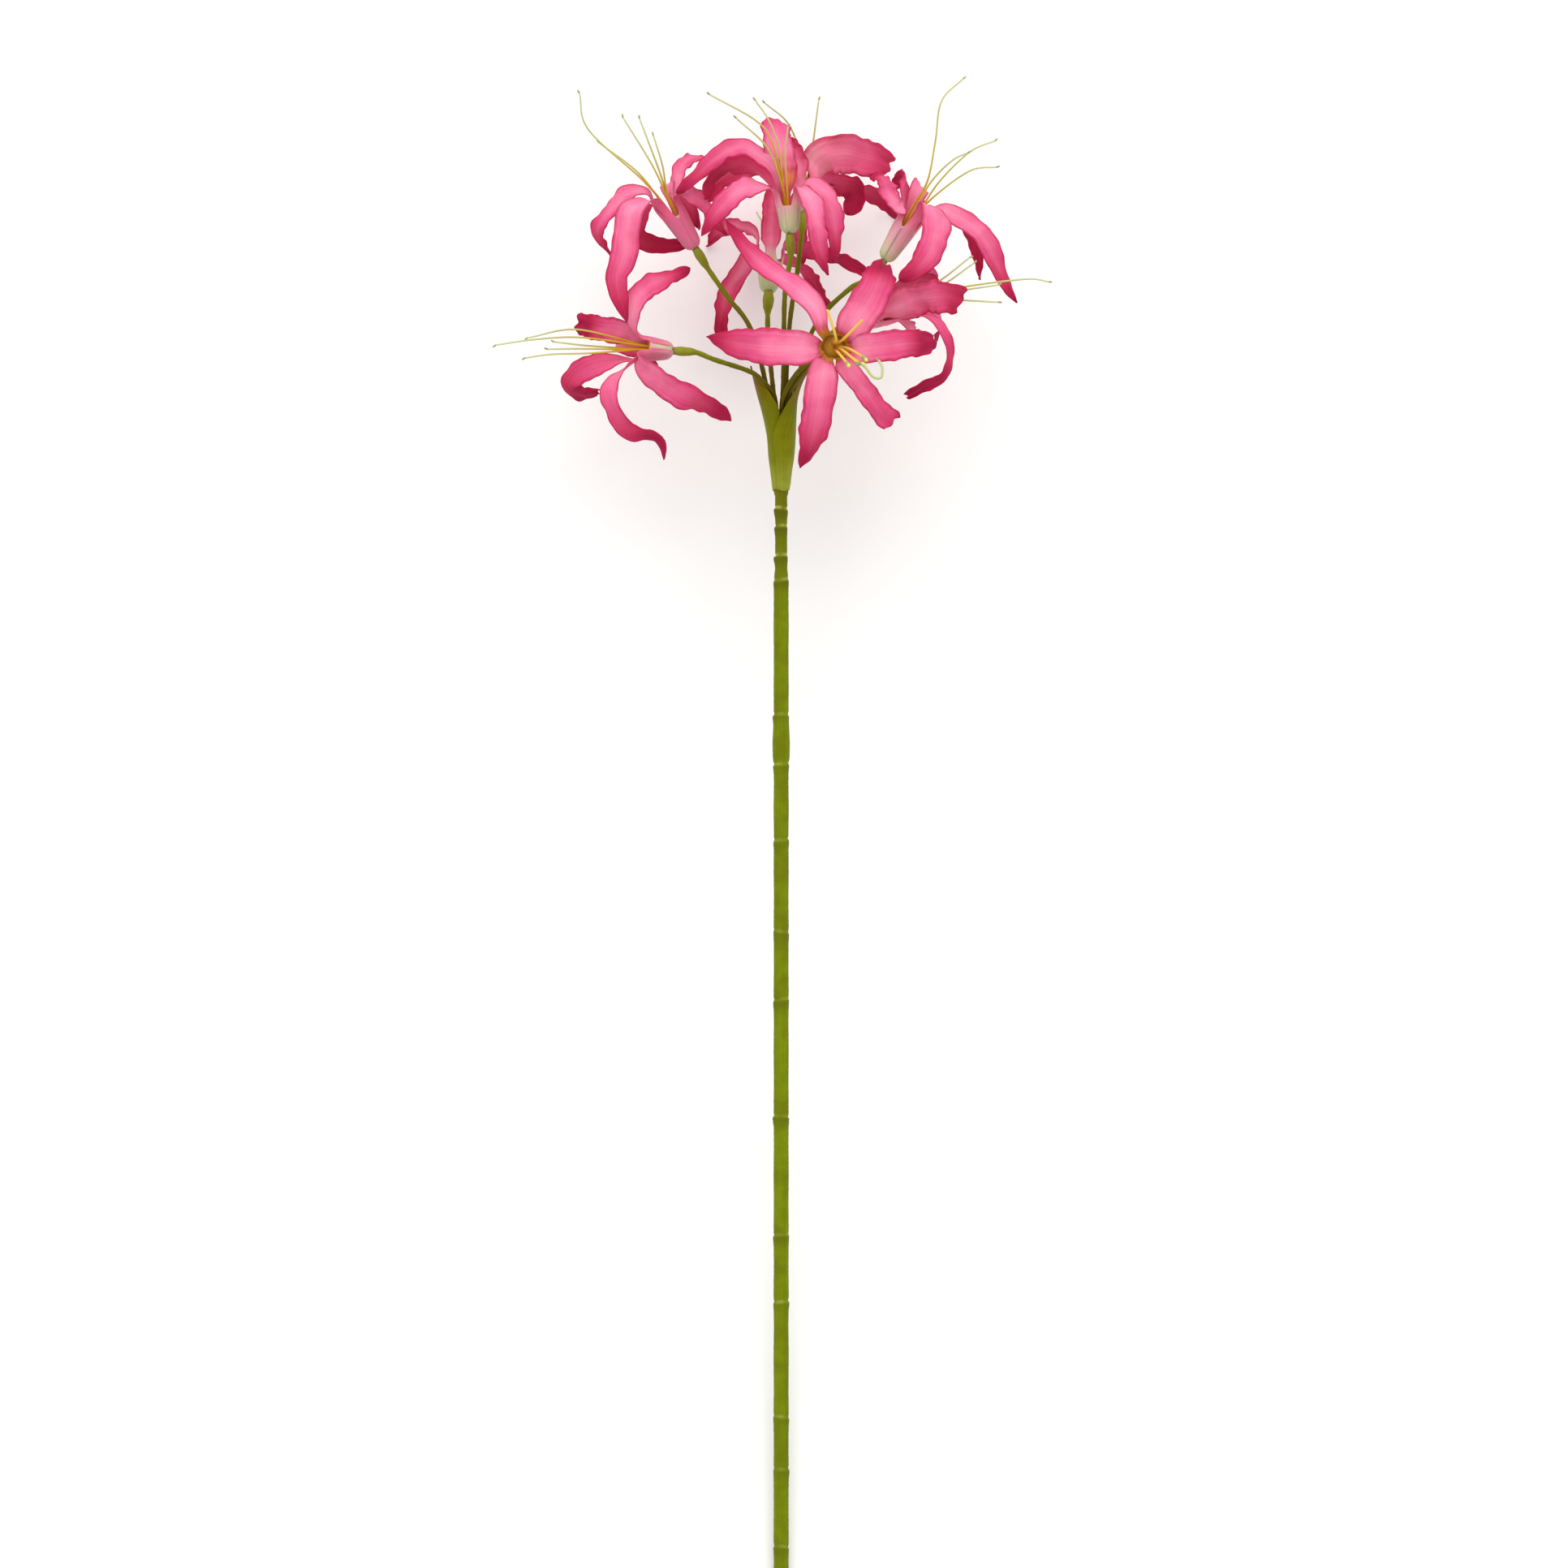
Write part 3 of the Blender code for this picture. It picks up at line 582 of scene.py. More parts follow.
def makeBract(side, name, node):
    shape = spathe[side]
    rings = alongCurve([Vector(ring[:3]) for ring in shape["rings"]], spathe["alongSteps"])
    closer = alongCurve([Vector((ring[0], ring[3], 0)) for ring in shape["rings"]], spathe["alongSteps"])
    bm = bmesh.new()
    verts, faces = newSheet(bm, spathe["alongSteps"], spathe["acrossSteps"])
    for vert in verts:
        i = round((vert.co.x + 0.5) * spathe["alongSteps"])
        height, radius, half = rings[i]
        across = vert.co.y * 2
        turn = math.radians(shape["faces"] + half * across)
        veins = spathe["vein"] * math.sin(across * spathe["veins"])
        veins *= smoothStep(*spathe["veinsFrom"], height)
        nearEdge = abs(across) ** 3
        waver = spathe["waver"] * math.sin(height * spathe["waverPitch"] + 3 * across)
        waver *= smoothStep(*spathe["waverFrom"], height)
        foot = 1 - smoothStep(0, spathe["foot"], height)
        reach = radius + (waver - closer[i].y) * nearEdge + veins - spathe["footIn"] * foot
        height += spathe["footWaves"] * foot * math.sin(3 * turn + 1)
        vert.co = (reach * math.cos(turn), height, reach * math.sin(turn))
    bmesh.ops.remove_doubles(bm, verts=verts, dist=0.0005)
    setTone(bm, 0.5)
    return finishPiece(bm, name, [spatheGreen, spatheInside], "spathe_green", node)


def thicken(piece, thickness, otherSide=0):
    solid = piece.modifiers.new("thickness", "SOLIDIFY")
    solid.thickness = thickness / 1000
    solid.offset = -1
    solid.material_offset = otherSide
    solid.material_offset_rim = 0


for side in ("left", "right"):
    thicken(makeBract(side, side + "Bract", "spathe_" + side), spathe["thick"], otherSide=1)
print("spathe done")


# The florets. A tepal is its greatest width, its tip's share of that, its twist and its centre line
# from the mouth on. A filament is the points that it passes outside the mouth.

tepal = {
    "alongSteps": 54,
    "tubeSteps": 10,
    "acrossSteps": 14,
    "thick": 0.5,
    "rootWidth": 6.5,
    "widensOver": (0.02, 0.34),  # shares of a blade's length, as below
    "claw": 2.2,  # how much narrower it is just above its root
    "clawAt": 0.1,
    "clawLength": 0.09,
    "narrowsFrom": 0.5,
    "narrowing": 2.2,
    "pointFrom": 0.94,
    "overlap": 0.72,
    "root": 0.7,
    "rim": 0.95,
    "nextWave": 2.4,  # how much later each tepal's waves start
    "waves": 2.6,
    "wave": 0.9,
    "waveLag": 1.7,
    "cup": 0.10,
    "cupChange": 2.2,
    "ruffle": 0.6,
    "ruffleWaves": (6.3, 10.7),
    "ruffleFrom": (0.12, 0.5),
    "roll": 0.28,
    "rollWaves": 3.1,
    "ragged": 0.05,
    "raggedWaves": (23, 57),
    "midrib": 0.35,
    "bluntTips": (0.35, 0.6),  # tips this wide are frilled and deeper in colour
    "frill": 0.8,
    "frillFrom": 0.78,
    "tone": 0.6,
    "toneBy": 0.35,
    "deepEnd": 0.4,
    "deepFrom": (0.66, 0.95),
}
tube = {
    "baseRadius": 3.8,
    "mouthRadius": 7.0,
    "flare": 0.8,
    "round": 3.0,
    "wall": 0.8,
    "sides": 30,
    "steps": 20,
    "lining": 0.6,
    "liningFloor": 1.1,
    "lined": 0.67,  # the share of the length that the lining reaches
    "liningColour": 0.17,
}
filament = {
    "radius": 0.78,
    "tipRadius": 0.46,
    "sides": 7,
    "steps": 40,
    "atCore": 0.9,
    "atMouth": 2.2,
    "coreFoot": 2.8,
    "coreTop": 0.66,
    "core": (0, 0.35, 0.36, 0.4, 0.48, 0.6, 0.75, 0.9, 1.0, 1.04, 0),  # shares of the tube's room
    "coreSides": 24,
    "coreTone": 1.08,
    "frontBulk": 1.5,
}
# the front floret's first filaments are bare, and the next ones carry thick lime anthers
anther = {
    "length": 2.7,
    "radius": 0.52,
    "ahead": 0.6,
    "bare": (0, 1),
    "lime": (2, 3, 4),
    "limeBulk": 2.1,
}
pedicel = {
    "rootRadius": 1.1,
    "radius": 1.3,
    "rises": (2, 8),
    "sides": 14,
    "steps": 72,
    "ring": 3.2,
    "gap": 0.3,
}
ovary = {
    "length": 12.0,
    "lobes": 0.12,
    "profile": [(0, 1.35), (0.35, 2.2), (0.65, 2.5), (1, 1.9)],
    "bulk": {"rear_low": 1.2},
}

# places in millimetres in the stem's own frame; a root is where on the ring a pedicel starts
florets = {
    "low_left": {
        "tube": ((-53.5, 68.6, 9), (-71.5, 70, 12)),
        "root": 139,
        "pedicel": [(-3, 45, 5), (-9.5, 54, 9), (-16, 58.6, 10.5), (-33, 64.3, 8)],
        "tepals": [
            (12, 0.25, 62, [(-73, 82, 15), (-72.5, 92, 15), (-66, 100, 14), (-57, 104.5, 12),
                (-44.7, 109.6, 8)]),
            (12.5, 0.9, 45, [(-80, 78, 8), (-89, 79.5, 5), (-101, 82, 1)]),
            (12, 0.65, -70, [(-82, 64, 14), (-92, 61.5, 16), (-101.5, 56.5, 15), (-104.5, 50.5, 13),
                (-98, 46.5, 11), (-89.5, 47.3, 9)]),
            (9.5, 0.2, -70, [(-78, 59, 21), (-84.5, 51, 25), (-84.3, 43, 26), (-80.3, 34.5, 25),
                (-74.5, 28, 23), (-65, 26.4, 21), (-59.5, 23.6, 20), (-58, 14.7, 19)]),
            (14.5, 0.2, -15, [(-69, 61, 22), (-57.7, 51.5, 27), (-47.3, 45.4, 28), (-36, 41, 24),
                (-24.6, 33.7, 19)]),
            (9, 0.2, 0, [(-78, 72, 0), (-82, 73, -14), (-74, 70, -32), (-62, 62, -44)]),
        ],
        "filaments": [
            [(-101, 79, 16), (-125, 74.8, 18)],
            [(-99, 75, 20), (-121, 74, 22), (-140.6, 71.2, 20)],
            [(-97, 69.4, 22), (-115, 69.2, 24)],
            [(-94, 67.2, 25), (-113, 66.6, 28), (-126, 64.8, 29)],
            [(-95, 71, 12), (-112, 73, 8)],
        ],
    },
    "upper_left": {
        "tube": ((-42.5, 119.6, -5), (-57, 143, -2)),
        "root": 190,
        "pedicel": [(-3.6, 34, -0.3), (-14, 77, -4), (-27, 96, -5.5)],
        "tepals": [
            (9, 0.3, -45, [(-66, 147, -1), (-75, 147, 0), (-84, 138.5, 1), (-91.3, 127, -2),
                (-84, 114.6, -10)]),
            (13.5, 0.15, -75, [(-65.5, 143, 8), (-73.5, 138.5, 14), (-75.8, 129.6, 17),
                (-77.4, 115.2, 18), (-81, 102.9, 19), (-75.8, 82.6, 23)]),
            (9.5, 0.5, 45, [(-66, 141, -9), (-70.5, 133, -15), (-70.5, 125, -19), (-60, 121, -21),
                (-47, 121.5, -21)]),
            (8, 0.5, 30, [(-51.5, 152, -9), (-49.5, 160, -12), (-42, 165, -16), (-31, 162, -26)]),
            (9, 0.3, 30, [(-49, 147.5, 4), (-40, 143, 5), (-32.5, 134, 3), (-26.5, 126, -3)]),
            (9, 0.25, 0, [(-56, 151, -12), (-52, 152, -26), (-46, 143, -40), (-41, 130, -50)]),
        ],
        "filaments": [
            [(-69, 153.5, 2), (-95, 177.6, 6), (-99.4, 195.6, 8)],
            [(-71, 157, 0), (-90, 171.5, -1)],
            [(-63.5, 160, 4), (-78, 183.6, 8)],
            [(-61, 160, 2), (-69.8, 183.2, 3)],
            [(-58.5, 160, 6), (-63, 174.8, 10)],
        ],
    },
    "top": {
        "tube": ((4.2, 126.8, 8), (3.4, 147, 9)),
        "root": None,
        "pedicel": [(1.2, 60, 3), (1.8, 95.6, 6.5)],
        "tepals": [
            (12, 0.2, -45, [(-6, 149, 13), (-16, 149.5, 19), (-24, 145, 24), (-31.6, 136.7, 26),
                (-39.5, 125, 27)]),
            (10.5, 0.3, -15, [(-3, 158, 4), (-11, 165.5, 3), (-21, 169.6, 4), (-32, 164, 7),
                (-42, 155, 10), (-52, 146.5, 11)]),
            (15.5, 0.85, 0, [(0.6, 157, 2), (-1, 168, 0), (-2.2, 178, -4), (-2.8, 183.5, -12)]),
            (12, 0.4, 50, [(-9, 156, 9), (-20, 160.5, 11), (-30, 158, 12), (-36.5, 151, 14),
                (-38, 143, 16)]),
            (12, 0.2, 0, [(10, 149, 15), (15.5, 141, 22), (17.8, 130, 26), (19.6, 118, 27),
                (23.5, 105.6, 26)]),
            (11, 0.2, 40, [(14, 151.5, 9), (21.5, 147, 11), (25.5, 136.7, 13), (27, 124, 14),
                (26, 112, 15)]),
        ],
        "filaments": [
            [(-4, 170, 9), (-12, 181.6, 11), (-35.4, 194.8, 14)],
            [(-6.5, 168, 12), (-22.2, 183.2, 16)],
            [(-1, 168, 10), (-6, 182, 9), (-12.8, 192, 8)],
            [(2, 166, 14), (3.5, 179, 20)],
        ],
    },
    "rear_low": {
        "tube": ((-6.2, 98.4, -30), (-5.4, 118, -42)),
        "root": 245,
        "pedicel": [(-2.2, 34, -3.4), (-6.2, 72, -17)],
        "tepals": [
            (10, 0.5, 0, [(-13, 119, -47), (-20, 109, -51), (-26.5, 98.5, -52), (-29.8, 88, -50),
                (-30.3, 75, -47)]),
            (8, 0.4, 0, [(2, 115, -47), (11, 110, -50), (17.5, 102.5, -50), (25, 90.5, -47)]),
            (9, 0.3, 0, [(2, 122, -46), (11, 120, -52), (21, 117.5, -55), (32, 114, -56),
                (46, 106.5, -53)]),
            (10, 0.5, 0, [(-5, 127, -45), (-4.6, 136, -49), (-4.2, 145, -56), (-3.5, 151, -66)]),
            (9, 0.25, 0, [(-7, 116, -53), (-11, 115, -63), (-15, 117, -72), (-18, 119, -78)]),
            (9, 0.25, 0, [(-12, 127, -48), (-21, 131.5, -58), (-30, 129.5, -72), (-36, 122.5, -84)]),
        ],
        "filaments": [
            [(-8, 130, -60), (-12, 138, -80)],
            [(-6, 126, -62), (-6, 126, -84)],
            [(-2, 126, -60), (-3, 122, -76)],
        ],
    },
    "upper_right": {
        "tube": ((51, 113.5, 5), (66, 137.5, 6)),
        "root": 345,
        "pedicel": [(4.2, 34, 0), (15, 77.6, 0), (34, 99.4, 2)],
        "tepals": [
            (9, 0.3, 0, [(61, 147, 1), (62, 152.5, -5), (60, 154.5, -14), (55, 149, -24)]),
            (14.5, 0.3, 45, [(73, 140, 14), (76.5, 130, 21), (73.5, 118, 26), (67, 109, 31),
                (58, 103.6, 34)]),
            (10.5, 0.15, 62, [(78, 138.5, 6), (88, 134, 9), (96.6, 128.5, 10), (102.5, 120.5, 9),
                (106.5, 111, 7), (111, 101, 5), (116.4, 92.3, 4)]),
            (10, 0.3, 0, [(68, 148, -2), (69, 150, -11), (67, 144, -24), (63, 132, -34)]),
            (10, 0.35, -50, [(57.5, 140, 12), (53, 147.5, 13), (50, 154, 12), (43.5, 155.5, 8)]),
            (8.5, 0.2, -60, [(76, 140, -3), (85, 137, -10), (93, 129, -14), (97.5, 116, -13),
                (98.4, 103.6, -8)]),
        ],
        "filaments": [
            [(72, 152, 6), (76, 172, 8), (79, 191.6, 8), (89.8, 202.8, 6)],
            [(78, 152, 8), (93, 166.5, 12), (105.4, 172, 12)],
            [(79.5, 148, 12), (94, 157.5, 18), (106, 158.8, 22)],
            [(74, 152, 11), (84, 162, 18), (92, 166, 22)],
        ],
    },
    "right": {
        "tube": ((36, 81.5, 14), (55, 89, 20)),
        "root": 36,
        "pedicel": [(2.8, 36, 3), (3.7, 46, 5.4), (8, 54, 9.8), (20, 70, 12)],
        "tepals": [
            (17, 0.95, 20, [(65, 93, 28), (75, 95, 31), (83, 94.7, 31), (88.7, 93.2, 29)]),
            (4.6, 1.35, 70, [(66, 86, 26), (75, 84, 29), (81.5, 75.5, 30), (83.4, 65, 30), (79.5, 55, 29),
                (71, 51, 28), (62, 45.8, 27)]),
            (10, 0.3, 0, [(62, 102, 17), (70, 106, 9), (75, 103, 0), (76, 96, -8)]),
            (9, 0.5, 0, [(66, 91, 12), (75, 89, 4), (79, 82, -6), (77, 74, -14)]),
            (9, 0.3, 0, [(61, 82, 13), (67, 77, 4), (70, 73, -8), (68, 70, -20)]),
            (9, 0.3, -30, [(58, 99, 21), (64, 102, 20), (72, 103, 18), (80, 100, 15)]),
        ],
        "filaments": [
            [(76, 101.5, 22), (93, 114.4, 22)],
            [(78, 100, 24), (95, 111.6, 26)],
            [(80, 98, 20), (119, 103.6, 20), (132, 102.4, 18)],
            [(84, 97, 22), (107, 100.8, 24)],
            [(82, 93, 21), (107, 92.4, 20)],
        ],
    },
    "front": {
        "tube": ((25, 71, 30), (26, 70, 49)),
        "root": 87,
        "pedicel": [(0.2, 38, 5), (1, 46, 8.6), (7, 56.5, 12.5), (17, 66, 14.5)],
        "tepals": [
            (11, 0.2, 0, [(20, 79, 55), (16.5, 90, 55), (6.5, 100, 49), (-5.7, 108.4, 42),
                (-16.5, 118.5, 34), (-27, 133, 24)]),
            (18, 0.12, 0, [(16.5, 69, 56), (3.5, 69.6, 58), (-9.9, 70.3, 56), (-22, 71.8, 51),
                (-37, 75, 44)]),
            (16.5, 0.15, 0, [(21, 60, 57), (19, 45, 60), (16.8, 31, 58), (14, 19.4, 54),
                (9.4, 10.2, 49)]),
            (10.2, 1.15, 0, [(32, 60, 57), (40, 50, 60), (47.5, 40, 58), (54.8, 32.2, 55)]),
            (15, 0.6, 0, [(37, 69, 55), (48, 69.8, 60), (60, 71.4, 60), (69, 72, 56), (76, 73, 49)]),
            (18, 0.65, 0, [(33, 77.5, 55), (39.5, 87, 57), (46, 98, 55), (49.5, 107, 48),
                (51.5, 111.5, 40)]),
        ],
        "filaments": [
            [(27, 74, 66), (22.7, 88, 70)],
            [(31, 74, 66), (39.8, 82.8, 72)],
            [(30.5, 68, 64), (38, 61.5, 72)],
            [(28, 67, 65), (32.5, 61.5, 75)],
            [(33, 69, 64), (40.5, 64.5, 70)],
            [(34, 65, 67), (41, 60, 73), (45, 55, 75), (49, 54.5, 75), (49.6, 59.6, 74),
                (47.8, 63, 73)],
        ],
    },
    "rear_high": {
        "tube": ((11, 137, -20), (12.5, 153, -32)),
        "root": 295,
        "pedicel": [(1.6, 34, -4), (4, 80, -9), (8, 108, -9)],
        "tepals": [
            (20.5, 0.6, -15, [(17, 160, -33), (23, 165, -33), (33, 166.5, -34), (44, 164, -36),
                (54, 161, -38)]),
            (14.5, 0.35, -10, [(20, 153, -38), (28, 153, -42), (35, 149.5, -46), (36.5, 143.5, -49),
                (32.5, 136.5, -50)]),
            (10, 0.5, 0, [(8, 165, -30), (2, 173, -29), (-2, 178, -25)]),
            (14, 0.4, 15, [(3, 158, -36), (-9, 162, -40), (-21, 160, -44), (-32, 153, -46),
                (-38, 143, -46)]),
            (9, 0.25, 0, [(9, 146, -44), (8, 138, -54), (9, 126, -68), (11, 113, -80)]),
            (11, 0.25, -20, [(21, 149, -45), (32, 150, -58), (43, 148.5, -70), (52, 143, -80),
                (57, 135, -86.5)]),
        ],
        "filaments": [
            [(15, 166, -36), (18.6, 193.2, -36)],
            [(9, 168, -36), (3, 182, -33), (-8.2, 191.6, -30)],
            [(16, 163, -46), (22, 174, -60)],
            [(12, 160, -50), (12, 166, -66)],
        ],
    },
}


def tubeRadius(share):
    widens = tube["mouthRadius"] - tube["baseRadius"]
    return tube["baseRadius"] + widens * max(share, 0) ** tube["flare"]


def wallRadius(height, length):
    # the tube's foot is rounded in
    near = 1 - min(height / tube["round"], 1)
    return tubeRadius(height / length) * (0.3 + 0.7 * math.sqrt(1 - near**2))


def tepalWidth(t, width, tip):
    # narrow at the root, widest at the middle, drawn in to a rounded point
    grown = smoothStep(*tepal["widensOver"], t)
    grown = tepal["rootWidth"] + (width - tepal["rootWidth"]) * grown
    grown -= tepal["claw"] * math.exp(-(((t - tepal["clawAt"]) / tepal["clawLength"]) ** 2))
    fall = max(t - tepal["narrowsFrom"], 0) / (1 - tepal["narrowsFrom"])
    drawn = grown * (1 - (1 - tip) * fall ** tepal["narrowing"])
    end = max(t - tepal["pointFrom"], 0) / (1 - tepal["pointFrom"])
    return drawn * math.sqrt(1 - end**2 * (0.97 if tip < 0.45 else 0.3))


def addTepal(bm, base, axis, length, shape, phase, dice, tones):
    width, tip, twist, line = shape
    plainTone, bodyTone, endTone = tones
    points = [Vector(point) for point in line]
    out = points[0] - base
    out = (out - axis * out.dot(axis)).normalized()

    def onWall(share):
        return base + axis * length * share + out * (tubeRadius(share) - tube["wall"] / 2)

    outer = alongCurve([onWall(tepal["root"]), onWall(tepal["rim"]), *points], tepal["alongSteps"])
    outerNormals = carriedNormals(outer, -out)
    count = tepal["tubeSteps"]
    heights = [length * tepal["root"] * (i / count) ** 1.5 for i in range(count)]
    wall = tube["wall"] / 2
    low = [base + axis * height + out * (wallRadius(height, length) - wall) for height in heights]
    path = low + outer
    along = tangents(path)
    steps = len(path) - 1
    shift = [dice.uniform(0, math.tau) for _ in range(6)]
    blunt = smoothStep(*tepal["bluntTips"], tip)
    coarseWaves, smallWaves = tepal["raggedWaves"]
    slow, fast = tepal["ruffleWaves"]
    tone = bm.verts.layers.float["tone"]
    verts, faces = newSheet(bm, steps, tepal["acrossSteps"])
    for vert in verts:
        side = vert.co.y * 2
        i = round((vert.co.x + 0.5) * steps)
        onTube = i < len(low)
        t = 0 if onTube else (i - len(low)) / tepal["alongSteps"]
        normal = outerNormals[0] if onTube else outerNormals[i - len(low)]
        normal = Matrix.Rotation(math.radians(twist) * smoothStep(0, 0.5, t), 3, along[i]) @ normal
        normal = (normal - along[i] * normal.dot(along[i])).normalized()
        across = along[i].cross(normal)
        if onTube:
            radius = wallRadius(heights[i], length)
            half = radius * tepal["overlap"]
            lift = radius - math.sqrt(radius**2 - (half * side) ** 2)
            edge = half * side
        else:
            half = tepalWidth(t, width, tip) / 2
            coarse = math.sin(coarseWaves * t + shift[0]) * smoothStep(0.2, 0.5, t)
            small = math.sin(smallWaves * t + shift[3] + side) * smoothStep(0.3, 0.6, t)
            edge = half * side * (1 + tepal["ragged"] * (coarse + 0.6 * small))
            turn = math.tau * tepal["waves"] * t + phase + tepal["waveLag"] * side
            wave = tepal["wave"] * math.sin(turn) * smoothStep(0, 1, 2 * t)
            cup = tepal["cup"] * width * (1 - tepal["cupChange"] * t)
            lift = wave * abs(side) + cup * side**2
            amount = tepal["ruffle"] * smoothStep(*tepal["ruffleFrom"], t) * min(half / 3, 1)
            own = shift[1] if side > 0 else shift[2]
            fine = math.sin(math.tau * slow * t + own)
            fine += 0.55 * math.sin(math.tau * fast * t + own * 2.3)
            lift += amount * fine * abs(side) ** 2.6
            turn = math.tau * tepal["rollWaves"] * t + shift[3] + 2.4 * side
            lift += tepal["roll"] * math.sin(turn) * smoothStep(0.1, 0.4, t)
        lift -= tepal["midrib"] * math.exp(-((side / 0.2) ** 2)) * smoothStep(0, 0.15, t + 0.05)
        vert.co = path[i] + across * edge + normal * lift
        # a blunt end is frilled into lobes
        frill = tepal["frill"] * blunt * smoothStep(tepal["frillFrom"], 1, t)
        vert.co += along[i] * frill * math.cos(5 * side + shift[4])
        vert.co += normal * frill * math.sin(6 * side + shift[5])
        bladeTone = bodyTone + endTone * blunt * smoothStep(*tepal["deepFrom"], t)
        vert[tone] = plainTone + (bladeTone - plainTone) * smoothStep(0, tepal["toneBy"], t)
    bmesh.ops.reverse_faces(bm, faces=faces)
    bmesh.ops.remove_doubles(bm, verts=verts, dist=0.0005)


def addTubeLining(bm, base, axis, length):
    # the closed cup inside the tepals' overlapping roots
    steps = tube["steps"]
    floor = tube["liningFloor"]
    rises = length * tube["lined"] - floor
    heights = [floor, *[floor + rises * i / (steps - 1) for i in range(steps)]]
    path = [base + axis * height for height in heights]
    path[0] = path[0] - axis * 0.01

    def radiusAt(i, turn):
        return 0 if i == 0 else wallRadius(heights[i], length) - tube["lining"]

    wrapTube(bm, path, radiusAt, tube["sides"], first=axis.orthogonal(), inward=True)
    uv = bm.loops.layers.uv["UVMap"]
    for face in bm.faces:
        for loop in face.loops:
            loop[uv].uv = (0.5, loop[uv].uv.y * tube["liningColour"])


# how far the pink runs down the tube: a low tone leaves it greenish white
tubeTone = {
    "low_left": 1.0,
    "upper_left": 1.5,
    "top": 0.5,
    "rear_low": 0.35,
    "upper_right": 0.65,
    "right": 0.9,
    "front": -0.1,
    "rear_high": 0.9,
}
# tepals that are deep crimson or light all over, by their place in the table
ownTone = {
    "low_left": {1: 0.8, 2: 1.1, 3: 1.1, 4: 0.9},
    "upper_left": {2: 1.5},
    "top": {2: -0.5, 3: 1.5},
    "rear_low": {1: 1.5, 2: 1.5},
    "upper_right": {0: 1.5, 5: 1.5},
    "right": {0: -0.1, 1: 1.3},
    "front": {2: 0.8, 4: 0.75},
    # rear_high's first tepal is painted light, a painted light on a tepal that lies in shade under the
    # others
    "rear_high": {0: -0.5, 1: 1.5, 5: 1.3},
}
# blunt ends that stay lighter than the others
ownEnd = {"front": {3: -0.7}}


def makeTepals(name, node, floret, dice):
    base, mouth = (Vector(end) for end in floret["tube"])
    axis = (mouth - base).normalized()
    length = (mouth - base).length
    bm = bmesh.new()
    addTubeLining(bm, base, axis, length)
    setTone(bm, 0.5)
    for i, shape in enumerate(floret["tepals"]):
        plainTone = tubeTone[node] + dice.uniform(-0.12, 0.12)
        bodyTone = ownTone.get(node, {}).get(i, tepal["tone"])
        endTone = ownEnd.get(node, {}).get(i, tepal["deepEnd"])
        phase = i * tepal["nextWave"]
        addTepal(bm, base, axis, length, shape, phase, dice, (plainTone, bodyTone, endTone))
    piece = finishPiece(bm, name + "Tepals", [petalInner, petalOuterShaded], "tepal_pink", node + "_tepals")
    thicken(piece, tepal["thick"], otherSide=1)


def addAnther(bm, tipPoint, direction, dice, bulk):
    tilt = Vector([dice.uniform(-0.5, 0.5) for _ in range(3)])
    lean = (direction + tilt).normalized()
    place = Matrix.Translation(tipPoint + lean * anther["ahead"])
    place = place @ lean.to_track_quat("Z", "Y").to_matrix().to_4x4()
    shape = Matrix.Diagonal((anther["radius"], anther["radius"], anther["length"] / 2, 1))
    shape = shape @ Matrix.Scale(bulk, 4)
    made = bmesh.ops.create_icosphere(bm, subdivisions=2, radius=1, matrix=place @ shape)
    for face in {face for vert in made["verts"] for face in vert.link_faces}:
        face.material_index = 1


def makeStamens(name, node, floret, dice):
    base, mouth = (Vector(end) for end in floret["tube"])
    axis = (mouth - base).normalized()
    length = (mouth - base).length
    foot = base + axis * filament["coreFoot"]
    top = base + axis * length * filament["coreTop"]
    bm = bmesh.new()
    last = len(filament["core"]) - 3
    core = [foot.lerp(top, i / last) for i in range(last + 1)]

    def coreRadius(i, turn):
        # a plug that the filaments grow from, which widens until it meets the tube's wall
        height = (core[min(max(i - 1, 0), len(core) - 1)] - base).length
        return filament["core"][i] * (wallRadius(height, length) - tube["lining"])

    plug = nudged([core[0], *core, core[-1]])
    wrapTube(bm, plug, coreRadius, filament["coreSides"], first=axis.orthogonal())
    setTone(bm, filament["coreTone"])
    inFront = node == "front"
    bulk = filament["frontBulk"] if inFront else 1.0
    for order, line in enumerate(floret["filaments"]):
        points = [Vector(point) for point in line]
        out = points[0] - base
        out = (out - axis * out.dot(axis)).normalized()
        root = foot.lerp(top, 0.5) + out * filament["atCore"]
        path = alongCurve([root, mouth + out * filament["atMouth"], *points], filament["steps"])
        path = nudged([path[0], *path, path[-1]])
        last = len(path) - 1

        def radiusAt(i, turn):
            slim = smoothStep(0, last * 0.5, i)
            if i in (0, last):
                return 0
            return bulk * (filament["radius"] * (1 - slim) + filament["tipRadius"] * slim)

        start = len(bm.verts)
        wrapTube(bm, path, radiusAt, filament["sides"], first=out)
        setTone(bm, 1.0 if inFront and len(line) < 4 else 0.5, start)
        lime = inFront and order in anther["lime"]
        if inFront and order in anther["bare"]:
            continue
        start = len(bm.verts)
        direction = (path[-1] - path[-4]).normalized()
        addAnther(bm, path[-1], direction, dice, anther["limeBulk"] if lime else 1.0)
        setTone(bm, 1.0 if lime else 0.5, start)
    finishPiece(bm, name + "Stamens", [filamentYellow, antherGrey], "stamen_yellow", node + "_stamens")


def profileAt(share, profile):
    for (low, small), (high, large) in zip(profile, profile[1:]):
        if share <= high:
            return small + (large - small) * smoothStep(low, high, share)
    return profile[-1][1]


